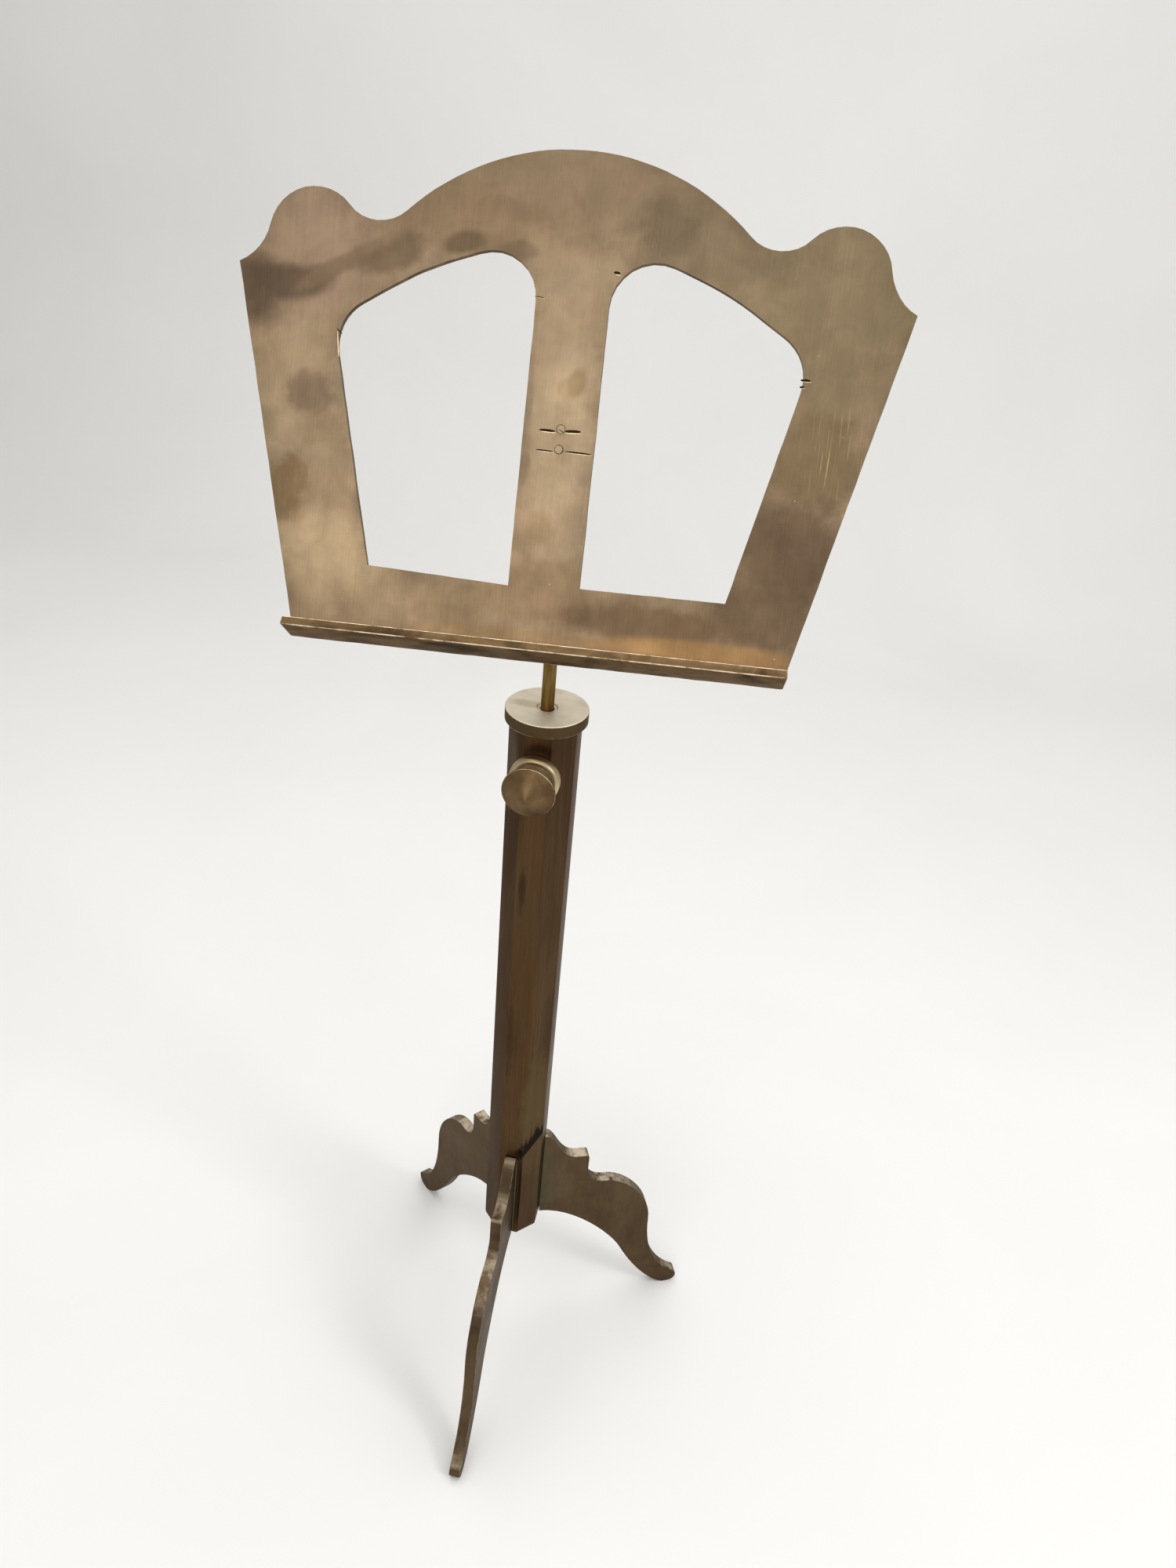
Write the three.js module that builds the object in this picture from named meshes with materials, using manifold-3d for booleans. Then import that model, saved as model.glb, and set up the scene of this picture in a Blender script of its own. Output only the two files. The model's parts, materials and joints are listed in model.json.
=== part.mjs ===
// A hand-made brass music stand, in millimetres, +Z up, the floor at z = 0.
// Its front, where the clamp knob and the front leg point, looks along -Y.
import * as THREE from 'three';
import { mergeVertices } from 'three/addons/utils/BufferGeometryUtils.js';
import Module from 'manifold-3d';

const wasm = await Module();
wasm.setup();

// ---------- driving dimensions ----------

// Eight-sided column
const COLUMN_FLATS = 62.4;          // across its flats
const COLUMN_WALL = 2.5;
const COLUMN_BOTTOM = 189;          // height of its lower end above the floor
const COLUMN_TOP = 882;             // height of its upper end, under the cap

// Turned cap and the bush that guides the rod
const CAP_DIAMETER = 76;
const CAP_THICKNESS = 12;
const CAP_EDGE_ROUND = 0.8;
const CAP_SPIGOT_DEPTH = 9;         // reaches down inside the column
const BUSH_WALL = 2.2;
const BUSH_LENGTH = 20;
const CAP_COUNTERSINK = 1.4;        // small cone round the rod

// Plug that closes the foot of the column
const PLUG_THICKNESS = 8;
const PLUG_INSET = 1.5;

// Legs: thick fretted plates, outlines measured out from the column's flat and up from the floor
const LEG_THICKNESS = 12.9;
const LEG_ANGLES = { front: 0, right: 114.3, left: -133.6 };
const LEG_REACH = 199;              // from the flat out to the tip of the toe
const LEG_ROOT_LENGTH = 135;        // up the column from its lower end
const STEP_OUT = 45;                // where the shelf behind the nib begins
const STEP_DROP = 43.5;             // below the top of the root
const STEP_FULLNESS = 18;           // how far the step's curve swells out and back
const NIB_OUT = 57.6;
const NIB_ROUND = 5;
const NIB_FOOT_DROP = 68;
const HOLLOW_OUT = 83;              // the low point between nib and shoulder
const HOLLOW_DROP = 95;
const SHOULDER_OUT = 146.4;
const SHOULDER_HEIGHT = 140;
const SHOULDER_FULLNESS = 50;
const TOE_ROUND = 11;
const SOLE_LENGTH = 7;
const ANKLE_OUT = 113;              // middle of the leg's underside
const ANKLE_HEIGHT = 91;

// Height clamp, on the column's front flat
const CLAMP_BELOW_CAP = 44;         // its axis, below the top of the column
const BOSS_RADIUS = 23.5;
const BOSS_LENGTH = 10;
const BOSS_EDGE_ROUND = 3.5;
const BOSS_NECK_RADIUS = 9;
const BOSS_NECK_DEPTH = 10;         // through the column wall, into the guide block
const KNOB_NECK_RADIUS = 19.5;
const KNOB_NECK_LENGTH = 13.5;
const KNOB_RIM_RADIUS = 24.5;
const KNOB_RIM_WIDTH = 3.2;
const KNOB_CONE_LENGTH = 14;
const KNOB_TIP_RADIUS = 2.5;
const KNOB_WAIST_DEPTH = 2.6;
const CLAMP_SCREW_RADIUS = 5;
const CLAMP_SCREW_IN_KNOB = 20;
const PAD_RADIUS = 6;
const PAD_LENGTH = 8;
const GUIDE_BLOCK_HEIGHT = 40;

// Rod, and the slider on its lower end
const ROD_RADIUS = 6;
const ROD_SHOWING = 230.6;          // from the top of the cap up to the desk's pivot, at rest
const ROD_INSIDE = 374.3;           // from the top of the cap down to its lower end, at rest
const TAIL_RADIUS = 5;              // turned down where the slider sits
const SLIDER_HEIGHT = 26;
const END_WASHER_RADIUS = 9;
const END_WASHER_THICKNESS = 1.6;
const END_SCREW_RADIUS = 2.5;
const END_SCREW_LENGTH = 16;
const END_SCREW_HEAD_RADIUS = 4.5;
const END_SCREW_HEAD_HEIGHT = 3;

// Pivot of the desk on top of the rod
const TONGUE_THICKNESS = 8;
const TONGUE_ROUND = 10;            // radius round the pivot
const TONGUE_BELOW_PIVOT = 18;
const PIVOT_BOLT_RADIUS = 3;
const BOLT_HEAD_RADIUS = 6;
const BOLT_HEAD_HEIGHT = 4;
const FRICTION_WASHER_RADIUS = 8.5;
const FRICTION_WASHER_THICKNESS = 0.8;
const CHEEK_THICKNESS = 5;
const CHEEK_ROUND = 11;
const BRACKET_FLANGE_THICKNESS = 4;
const BRACKET_FLANGE_HEIGHT = 50;
const TILT_WASHER_RADIUS = 8;
const TILT_WASHER_THICKNESS = 1.2;
const TILT_KNOB_RIM_RADIUS = 13;
const TILT_KNOB_NECK_RADIUS = 9;
const TILT_KNOB_NECK_LENGTH = 5;
const TILT_KNOB_RIM_WIDTH = 2.4;
const TILT_KNOB_CONE_LENGTH = 9;
const TILT_BOLT_IN_KNOB = 9;

// Desk plate, outlines measured from the rivets' middle, up the plate and out to each side
const DESK_TURN = 3.5;              // degrees, how the desk faces at rest
const DESK_LEAN = 25.6;             // degrees back from upright at rest
const DESK_ROLL = 1.5;              // degrees, the plate sits a little out of level
const DESK_SHIFT = -3.5;            // and a little to one side of its bracket
const PIVOT_BEHIND_FACE = 36.6;     // from the plate's front face back to the pivot
const PLATE_THICKNESS = 5;
const PLATE_FOOT = -168.3;
const PLATE_FOOT_HALF_WIDTH = 190.5;
const CORNER_HEIGHT = 110;
const CORNER_HALF_WIDTH = 254.5;
const CREST_HEIGHT = 207;
const CREST_RADIUS = 186;
const VALLEY_RADIUS = 31;
const EAR_OUT = 198;
const EAR_HEIGHT = 133;             // centre of the ear's round top
const EAR_RADIUS = 35;
const SHOULDER_RADIUS = 40;         // hollow sweep from the ear down to the corner
const BAR_HALF_WIDTH = 27.5;        // upright bar between the windows
const WINDOW_SHIFT = 2.5;           // both windows sit a little to the right of the plate's middle
const WINDOW_FOOT = -109;
const LEFT_FOOT_SKEW = 3;           // the left window's foot falls towards the bar
const STRUT_WIDTH = 63.5;           // square across the sloping side struts
const WINDOW_INNER_TOP = 147;
const WINDOW_INNER_ROUND = 34;
const WINDOW_MIDDLE_OUT = 115;
const WINDOW_MIDDLE_HEIGHT = 115;
const WINDOW_MIDDLE_ROUND = 240;
const WINDOW_SHOULDER_HEIGHT = 74;
const WINDOW_SHOULDER_ROUND = 36;

// Ledge that the music stands on
const LEDGE_LENGTH = 385;
const LEDGE_DEPTH = 26.7;
const LEDGE_THICKNESS = 6.8;
const LEDGE_RISE = 18.7;            // degrees it slopes up towards its front edge

// Rivets through the plate and the bracket
const RIVET_RADIUS = 3;
const RIVET_SPACING = 15;
const RIVET_HEAD_RADIUS = 5;
const RIVET_HEAD_HEIGHT = 2.2;

// ---------- named clearances ----------

const SOLDER_GAP = 0.3;             // where pieces are soldered, riveted or rest on each other
const RUNNING_FIT = 0.08;           // a turning or sliding shaft in its bore, on the radius
const SLIDER_FIT = 0.3;             // inner octagon pieces in the column, on each flat
const KNOB_GAP = 1;                 // between a tightened knob and what it faces
const TIP_ROOM = 1.5;               // room past the end of a screw in its blind hole

// ---------- fineness of round shapes ----------

const ROUND_SEGMENTS = 36;
const BIG_ROUND_SEGMENTS = 56;
const CURVE_SEGMENTS = 12;

// ---------- values that follow ----------

const COLUMN_HALF = COLUMN_FLATS / 2;
const COLUMN_INSIDE = COLUMN_HALF - COLUMN_WALL;
const CAP_TOP = COLUMN_TOP + SOLDER_GAP + CAP_THICKNESS;
const CLAMP_HEIGHT = COLUMN_TOP - CLAMP_BELOW_CAP;
const LEG_ROOT_BOTTOM = COLUMN_BOTTOM;
const LEG_ROOT_TOP = LEG_ROOT_BOTTOM + LEG_ROOT_LENGTH;
const STEP_HEIGHT = LEG_ROOT_TOP - STEP_DROP;
const NIB_FOOT_HEIGHT = LEG_ROOT_TOP - NIB_FOOT_DROP;
const HOLLOW_HEIGHT = LEG_ROOT_TOP - HOLLOW_DROP;
const ROD_TOP = CAP_TOP + ROD_SHOWING;
const ROD_TAIL_HEIGHT = CAP_TOP - ROD_INSIDE;
const BUSH_RADIUS = ROD_RADIUS + BUSH_WALL;
const PLATE_BACK = PIVOT_BEHIND_FACE - PLATE_THICKNESS;
const FLANGE_FRONT = PLATE_BACK - SOLDER_GAP;
const FLANGE_BACK = FLANGE_FRONT - BRACKET_FLANGE_THICKNESS;
const CHEEK_INNER = TONGUE_THICKNESS / 2 + 2 * SOLDER_GAP + FRICTION_WASHER_THICKNESS;
const CHEEK_OUTER = CHEEK_INNER + CHEEK_THICKNESS;
const SIDE_SLOPE = (CORNER_HALF_WIDTH - PLATE_FOOT_HALF_WIDTH) / (CORNER_HEIGHT - PLATE_FOOT);

const radians = THREE.MathUtils.degToRad;

// ---------- solids ----------

function solidOf(geometry) {
  const bare = geometry.index ? geometry.toNonIndexed() : geometry.clone();
  bare.deleteAttribute('normal');
  bare.deleteAttribute('uv');
  const merged = mergeVertices(bare, 1e-4);
  return new wasm.Manifold(new wasm.Mesh({
    numProp: 3,
    vertProperties: new Float32Array(merged.attributes.position.array),
    triVerts: new Uint32Array(merged.index.array),
  }));
}

function geometryOf(solid) {
  const mesh = solid.getMesh();
  const geometry = new THREE.BufferGeometry();
  geometry.setAttribute('position', new THREE.BufferAttribute(mesh.vertProperties, 3));
  geometry.setIndex(new THREE.BufferAttribute(mesh.triVerts, 1));
  return geometry;
}

// One body less all its cutters
function cut(body, ...cutters) {
  const solid = cutters.reduce((rest, cutter) => rest.subtract(solidOf(cutter)), solidOf(body));
  return geometryOf(solid);
}

// One body made of several that overlap
function join(body, ...others) {
  const solid = others.reduce((whole, other) => whole.add(solidOf(other)), solidOf(body));
  return geometryOf(solid);
}

// A faceted bore whose flats stay clear of a shaft of this radius
function boreRadius(shaftRadius, clearance, segments = ROUND_SEGMENTS) {
  return (shaftRadius + clearance) / Math.cos(Math.PI / segments);
}

// A cylinder standing on z = bottom
function cylinder(radius, bottom, top, segments = ROUND_SEGMENTS) {
  const geometry = new THREE.CylinderGeometry(radius, radius, top - bottom, segments);
  return geometry.rotateX(Math.PI / 2).translate(0, 0, (top + bottom) / 2);
}

// A turned piece: profile pairs of [radius, height], its axis along +Z
function turned(profile, segments = ROUND_SEGMENTS) {
  const points = profile.map(([radius, height]) => new THREE.Vector2(radius, height));
  return new THREE.LatheGeometry(points, segments).rotateX(Math.PI / 2);
}

// Profile points of a rounded corner, from one direction to another about a centre
function cornerArc(centreRadius, centreHeight, round, startDegrees, endDegrees, steps = 5) {
  return Array.from({ length: steps + 1 }, (_, i) => {
    const angle = radians(startDegrees + (endDegrees - startDegrees) * i / steps);
    return [centreRadius + round * Math.cos(angle), centreHeight + round * Math.sin(angle)];
  });
}

// An upright eight-sided prism with one flat facing -Y
function octagonPrism(halfFlats, bottom, top) {
  const shape = new THREE.Shape(Array.from({ length: 8 }, (_, i) => {
    const angle = Math.PI / 8 + i * Math.PI / 4;
    const reach = halfFlats / Math.cos(Math.PI / 8);
    return new THREE.Vector2(reach * Math.cos(angle), reach * Math.sin(angle));
  }));
  const geometry = new THREE.ExtrudeGeometry(shape, { depth: top - bottom, bevelEnabled: false });
  return geometry.translate(0, 0, bottom);
}

// Turns a piece made along +Z so that it points along -Y, out of the column's front flat
function facingFront(geometry) {
  return geometry.rotateX(Math.PI / 2);
}

// Turns a piece made along +Z so that it points along +X, out of the pivot
function facingRight(geometry) {
  return geometry.rotateY(Math.PI / 2);
}

function facingLeft(geometry) {
  return geometry.rotateY(-Math.PI / 2);
}

// ---------- the column and what is fixed to it ----------

function columnTube() {
  return cut(
    octagonPrism(COLUMN_HALF, COLUMN_BOTTOM, COLUMN_TOP),
    octagonPrism(COLUMN_INSIDE, COLUMN_BOTTOM - 1, COLUMN_TOP + 1),
    clampHole(BOSS_NECK_RADIUS, COLUMN_HALF + 1),
  );
}

// A hole from the column's middle out through its front, for a round piece of this radius
function clampHole(radius, reach) {
  const hole = cylinder(boreRadius(radius, SOLDER_GAP), 0, reach);
  return facingFront(hole).translate(0, 0, CLAMP_HEIGHT);
}

function rodHole(radius, clearance, bottom, top) {
  return cylinder(boreRadius(radius, clearance), bottom, top);
}

function columnCap() {
  const rim = CAP_DIAMETER / 2;
  const underside = COLUMN_TOP + SOLDER_GAP;
  const hole = boreRadius(BUSH_RADIUS, SOLDER_GAP);
  const disc = turned([
    [0, underside],
    ...cornerArc(rim - CAP_EDGE_ROUND, underside + CAP_EDGE_ROUND, CAP_EDGE_ROUND, -90, 0, 3),
    ...cornerArc(rim - CAP_EDGE_ROUND, CAP_TOP - CAP_EDGE_ROUND, CAP_EDGE_ROUND, 0, 90, 3),
    [0, CAP_TOP],
  ], BIG_ROUND_SEGMENTS);
  const spigot = octagonPrism(COLUMN_INSIDE - SOLDER_GAP, COLUMN_TOP - CAP_SPIGOT_DEPTH, underside + 1);
  const countersink = turned([
    [0, CAP_TOP - CAP_COUNTERSINK],
    [hole, CAP_TOP - CAP_COUNTERSINK],
    [hole + CAP_COUNTERSINK + 1, CAP_TOP + 1],
    [0, CAP_TOP + 1],
  ]);
  return cut(
    join(disc, spigot),
    rodHole(BUSH_RADIUS, SOLDER_GAP, COLUMN_TOP - CAP_SPIGOT_DEPTH - 1, CAP_TOP + 1),
    countersink,
  );
}

function capBush() {
  const top = CAP_TOP - CAP_COUNTERSINK;
  const inner = boreRadius(ROD_RADIUS, RUNNING_FIT);
  return turned([
    [inner, top - BUSH_LENGTH],
    [BUSH_RADIUS, top - BUSH_LENGTH],
    [BUSH_RADIUS, top],
    [inner + BUSH_WALL / 3, top],
    [inner, top - BUSH_WALL / 3],
    [inner, top - BUSH_LENGTH],
  ]);
}

// Block inside the column that backs the rod where the clamp presses on it
function guideBlock() {
  const bottom = CLAMP_HEIGHT - GUIDE_BLOCK_HEIGHT / 2;
  const top = CLAMP_HEIGHT + GUIDE_BLOCK_HEIGHT / 2;
  const neckEnd = COLUMN_HALF - BOSS_NECK_DEPTH - SOLDER_GAP;
  const neckPocket = cylinder(boreRadius(BOSS_NECK_RADIUS, SOLDER_GAP), neckEnd, COLUMN_HALF);
  return cut(
    octagonPrism(COLUMN_INSIDE - SOLDER_GAP, bottom, top),
    rodHole(ROD_RADIUS, RUNNING_FIT, bottom - 1, top + 1),
    clampHole(PAD_RADIUS, COLUMN_HALF),
    facingFront(neckPocket).translate(0, 0, CLAMP_HEIGHT),
  );
}

function basePlug() {
  const bottom = COLUMN_BOTTOM + PLUG_INSET;
  return octagonPrism(COLUMN_INSIDE - SOLDER_GAP, bottom, bottom + PLUG_THICKNESS);
}

// Round collar on the front flat, with a neck that passes through the column wall
function clampBoss() {
  const face = COLUMN_HALF + SOLDER_GAP;
  const front = face + BOSS_LENGTH;
  const bore = boreRadius(CLAMP_SCREW_RADIUS, RUNNING_FIT);
  const collar = turned([
    [bore, COLUMN_HALF - BOSS_NECK_DEPTH],
    [BOSS_NECK_RADIUS, COLUMN_HALF - BOSS_NECK_DEPTH],
    [BOSS_NECK_RADIUS, face],
    [BOSS_RADIUS, face],
    ...cornerArc(BOSS_RADIUS - BOSS_EDGE_ROUND, front - BOSS_EDGE_ROUND, BOSS_EDGE_ROUND, 0, 90),
    [bore, front],
    [bore, COLUMN_HALF - BOSS_NECK_DEPTH],
  ], BIG_ROUND_SEGMENTS);
  return facingFront(collar).translate(0, 0, CLAMP_HEIGHT);
}

// ---------- legs ----------

// Side view of a leg: x runs out from the column's flat, y up from the floor
function legOutline(rootStart) {
  const outline = new THREE.Shape();
  const toeCentre = LEG_REACH - TOE_ROUND;
  const toeTopAngle = radians(68);
  const toeTop = [
    toeCentre + TOE_ROUND * Math.cos(toeTopAngle),
    TOE_ROUND + TOE_ROUND * Math.sin(toeTopAngle),
  ];
  const heel = toeCentre - SOLE_LENGTH;
  outline.moveTo(rootStart, LEG_ROOT_BOTTOM);
  outline.lineTo(rootStart, LEG_ROOT_TOP);
  outline.lineTo(0, LEG_ROOT_TOP);
  outline.bezierCurveTo(STEP_FULLNESS, LEG_ROOT_TOP - 1, STEP_FULLNESS, STEP_HEIGHT, STEP_OUT, STEP_HEIGHT);
  outline.lineTo(NIB_OUT - NIB_ROUND, STEP_HEIGHT);
  outline.absarc(NIB_OUT - NIB_ROUND, STEP_HEIGHT - NIB_ROUND, NIB_ROUND, Math.PI / 2, 0, true);
  outline.lineTo(NIB_OUT, NIB_FOOT_HEIGHT);
  outline.bezierCurveTo(
    NIB_OUT, (NIB_FOOT_HEIGHT + HOLLOW_HEIGHT) / 2 - 4,
    (NIB_OUT + HOLLOW_OUT) / 2 - 2, HOLLOW_HEIGHT, HOLLOW_OUT, HOLLOW_HEIGHT,
  );
  outline.bezierCurveTo(
    HOLLOW_OUT + SHOULDER_FULLNESS / 2.2, HOLLOW_HEIGHT,
    SHOULDER_OUT, SHOULDER_HEIGHT + SHOULDER_FULLNESS, SHOULDER_OUT, SHOULDER_HEIGHT,
  );
  const shinPull = (SHOULDER_HEIGHT - toeTop[1]) * 0.38;
  const toePull = (toeTop[0] - SHOULDER_OUT) * 0.72;
  outline.bezierCurveTo(
    SHOULDER_OUT + 1, SHOULDER_HEIGHT - shinPull,
    toeTop[0] - toePull, toeTop[1] + shinPull / 2, toeTop[0], toeTop[1],
  );
  outline.absarc(toeCentre, TOE_ROUND, TOE_ROUND, toeTopAngle, -Math.PI / 2, true);
  outline.lineTo(heel, 0);
  outline.bezierCurveTo(heel - 20, 8, ANKLE_OUT + 21, ANKLE_HEIGHT / 2, ANKLE_OUT, ANKLE_HEIGHT);
  outline.bezierCurveTo(
    ANKLE_OUT - 14, ANKLE_HEIGHT + 31,
    ANKLE_OUT / 2 - 12, LEG_ROOT_BOTTOM - 2, 0, LEG_ROOT_BOTTOM,
  );
  outline.closePath();
  return outline;
}

// A leg pointing out at an angle from -Y, its root cut to the column it is soldered to
function leg(degrees) {
  const rootStart = -COLUMN_WALL;
  const plate = new THREE.ExtrudeGeometry(legOutline(rootStart), {
    depth: LEG_THICKNESS, bevelEnabled: false, curveSegments: CURVE_SEGMENTS,
  });
  plate.translate(COLUMN_HALF, 0, -LEG_THICKNESS / 2).rotateX(Math.PI / 2);
  plate.rotateZ(radians(degrees - 90));
  const cornerReach = LEG_ROOT_TOP + 1;
  return cut(plate, octagonPrism(COLUMN_HALF + SOLDER_GAP, LEG_ROOT_BOTTOM - 1, cornerReach));
}

// ---------- height clamp ----------

const PAD_START = ROD_RADIUS + SOLDER_GAP / 2;
const SCREW_START = PAD_START + PAD_LENGTH + SOLDER_GAP;
const KNOB_START = COLUMN_HALF + SOLDER_GAP + BOSS_LENGTH + KNOB_GAP;

function clampPad() {
  const pad = cylinder(PAD_RADIUS, PAD_START, PAD_START + PAD_LENGTH);
  return facingFront(pad).translate(0, 0, CLAMP_HEIGHT);
}

function clampScrew() {
  const screw = cylinder(CLAMP_SCREW_RADIUS, SCREW_START, KNOB_START + CLAMP_SCREW_IN_KNOB);
  return facingFront(screw).translate(0, 0, CLAMP_HEIGHT);
}

// A turned grip: waisted neck, sharp rim and a cone, with a blind hole for its screw
function conicalKnob(size) {
  const { neckRadius, neckLength, waist, rimRadius, rimWidth, coneLength, tipRadius } = size;
  const { holeRadius, holeDepth } = size;
  const rimBack = neckLength;
  const rimFront = rimBack + rimWidth;
  const tip = rimFront + coneLength;
  const slope = Math.atan2(coneLength, rimRadius);
  const tipCentre = tip - tipRadius;
  return turned([
    [0, holeDepth],
    [holeRadius, holeDepth],
    [holeRadius, 0],
    [neckRadius, 0],
    [neckRadius - waist * 0.7, neckLength * 0.25],
    [neckRadius - waist, neckLength * 0.5],
    [neckRadius - waist * 0.7, neckLength * 0.75],
    [neckRadius, rimBack],
    [rimRadius - 0.6, rimBack],
    [rimRadius, rimBack + 0.6],
    [rimRadius, rimFront - 0.4],
    [rimRadius - 0.4, rimFront],
    ...cornerArc(0, tipCentre, tipRadius, 90 - THREE.MathUtils.radToDeg(slope), 90, 4).slice(0, -1),
    [0, tip],
  ], BIG_ROUND_SEGMENTS);
}

function clampKnob() {
  const knob = conicalKnob({
    neckRadius: KNOB_NECK_RADIUS, neckLength: KNOB_NECK_LENGTH, waist: KNOB_WAIST_DEPTH,
    rimRadius: KNOB_RIM_RADIUS, rimWidth: KNOB_RIM_WIDTH,
    coneLength: KNOB_CONE_LENGTH, tipRadius: KNOB_TIP_RADIUS,
    holeRadius: boreRadius(CLAMP_SCREW_RADIUS, SOLDER_GAP),
    holeDepth: CLAMP_SCREW_IN_KNOB + TIP_ROOM,
  });
  return facingFront(knob.translate(0, 0, KNOB_START)).translate(0, 0, CLAMP_HEIGHT);
}

// ---------- rod and slider ----------

const WASHER_TOP = ROD_TAIL_HEIGHT - SOLDER_GAP;
const SLIDER_BOTTOM = ROD_TAIL_HEIGHT;
const SLIDER_TOP = SLIDER_BOTTOM + SLIDER_HEIGHT;
const HEAD_TOP = WASHER_TOP - END_WASHER_THICKNESS - SOLDER_GAP;

// Eight-sided slider: it keeps the rod upright and cannot turn in the column
function rodSlider() {
  return cut(
    octagonPrism(COLUMN_INSIDE - SLIDER_FIT, SLIDER_BOTTOM, SLIDER_TOP),
    rodHole(TAIL_RADIUS, RUNNING_FIT, SLIDER_BOTTOM - 1, SLIDER_TOP + 1),
  );
}

// The tongue on top of the rod, seen along the pivot, cut from the rod by two flats
function rod() {
  const shaft = cylinder(ROD_RADIUS, SLIDER_TOP + SOLDER_GAP, ROD_TOP - TONGUE_BELOW_PIVOT);
  const tail = cylinder(TAIL_RADIUS, ROD_TAIL_HEIGHT, SLIDER_TOP + 1);
  const eye = facingRight(cylinder(TONGUE_ROUND, -TONGUE_THICKNESS / 2, TONGUE_THICKNESS / 2));
  eye.translate(0, 0, ROD_TOP);
  const web = new THREE.BoxGeometry(TONGUE_THICKNESS, 2 * ROD_RADIUS - 1, TONGUE_BELOW_PIVOT + 2);
  web.translate(0, 0, ROD_TOP - TONGUE_BELOW_PIVOT / 2 - 1);
  const pivotHole = facingRight(
    cylinder(boreRadius(PIVOT_BOLT_RADIUS, RUNNING_FIT), -ROD_RADIUS * 2, ROD_RADIUS * 2));
  pivotHole.translate(0, 0, ROD_TOP);
  const screwHole = cylinder(
    boreRadius(END_SCREW_RADIUS, SOLDER_GAP), ROD_TAIL_HEIGHT - 1, HEAD_TOP + END_SCREW_LENGTH + TIP_ROOM);
  return cut(join(shaft, tail, eye, web), pivotHole, screwHole);
}

function rodEndWasher() {
  return cut(
    cylinder(END_WASHER_RADIUS, WASHER_TOP - END_WASHER_THICKNESS, WASHER_TOP),
    cylinder(boreRadius(END_SCREW_RADIUS, SOLDER_GAP), WASHER_TOP - END_WASHER_THICKNESS - 1, WASHER_TOP + 1),
  );
}

// Slotted cheese-head screw that holds the slider on
function rodEndScrew() {
  const head = cylinder(END_SCREW_HEAD_RADIUS, HEAD_TOP - END_SCREW_HEAD_HEIGHT, HEAD_TOP);
  const shank = cylinder(END_SCREW_RADIUS, HEAD_TOP - 1, HEAD_TOP + END_SCREW_LENGTH);
  const slot = new THREE.BoxGeometry(3 * END_SCREW_HEAD_RADIUS, 1.2, 2);
  slot.translate(0, 0, HEAD_TOP - END_SCREW_HEAD_HEIGHT);
  return cut(join(head, shank), slot);
}

// ---------- desk, in its own frame: pivot at the origin, -Y out of the plate's face, +Z up it ----------

// Centre of a circle of radius r that touches two circles from above
function filletCentre(a, radiusA, b, radiusB, r) {
  const distance = a.distanceTo(b);
  const fromA = radiusA + r;
  const fromB = radiusB + r;
  const along = (fromA * fromA - fromB * fromB + distance * distance) / (2 * distance);
  const across = Math.sqrt(fromA * fromA - along * along);
  const unit = b.clone().sub(a).divideScalar(distance);
  return new THREE.Vector2(
    a.x + unit.x * along - unit.y * across,
    a.y + unit.y * along + unit.x * across,
  );
}

// Points of an arc about a centre between two points on it, the short way round
function arcPoints(centre, from, to, steps) {
  const radius = centre.distanceTo(from);
  const start = Math.atan2(from.y - centre.y, from.x - centre.x);
  const sweep = Math.atan2(to.y - centre.y, to.x - centre.x) - start;
  const turn = Math.atan2(Math.sin(sweep), Math.cos(sweep));
  return Array.from({ length: steps + 1 }, (_, i) => {
    const angle = start + turn * i / steps;
    return new THREE.Vector2(centre.x + radius * Math.cos(angle), centre.y + radius * Math.sin(angle));
  });
}

// Where a line from a point touches a circle, on the circle's upper side
function tangentPoint(point, centre, radius) {
  const toPoint = point.clone().sub(centre);
  const angle = Math.atan2(toPoint.y, toPoint.x) + Math.acos(radius / toPoint.length());
  return new THREE.Vector2(centre.x + radius * Math.cos(angle), centre.y + radius * Math.sin(angle));
}

// Half the plate's outline, from the top of the crest round to the foot
function halfPlatePoints() {
  const crest = new THREE.Vector2(0, CREST_HEIGHT - CREST_RADIUS);
  const ear = new THREE.Vector2(EAR_OUT, EAR_HEIGHT);
  const valley = filletCentre(crest, CREST_RADIUS, ear, EAR_RADIUS, VALLEY_RADIUS);
  const crestEnd = crest.clone().lerp(valley, CREST_RADIUS / (CREST_RADIUS + VALLEY_RADIUS));
  const earStart = ear.clone().lerp(valley, EAR_RADIUS / (EAR_RADIUS + VALLEY_RADIUS));
  const corner = new THREE.Vector2(CORNER_HALF_WIDTH, CORNER_HEIGHT);
  const shoulder = filletCentre(ear, EAR_RADIUS, corner, 0, SHOULDER_RADIUS);
  const earEnd = ear.clone().lerp(shoulder, EAR_RADIUS / (EAR_RADIUS + SHOULDER_RADIUS));
  const top = new THREE.Vector2(0, CREST_HEIGHT);
  return [
    ...arcPoints(crest, top, crestEnd, 16),
    ...arcPoints(valley, crestEnd, earStart, 8).slice(1),
    ...arcPoints(ear, earStart, earEnd, 12).slice(1),
    ...arcPoints(shoulder, earEnd, corner, 6).slice(1),
    new THREE.Vector2(PLATE_FOOT_HALF_WIDTH, PLATE_FOOT),
  ];
}

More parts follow.
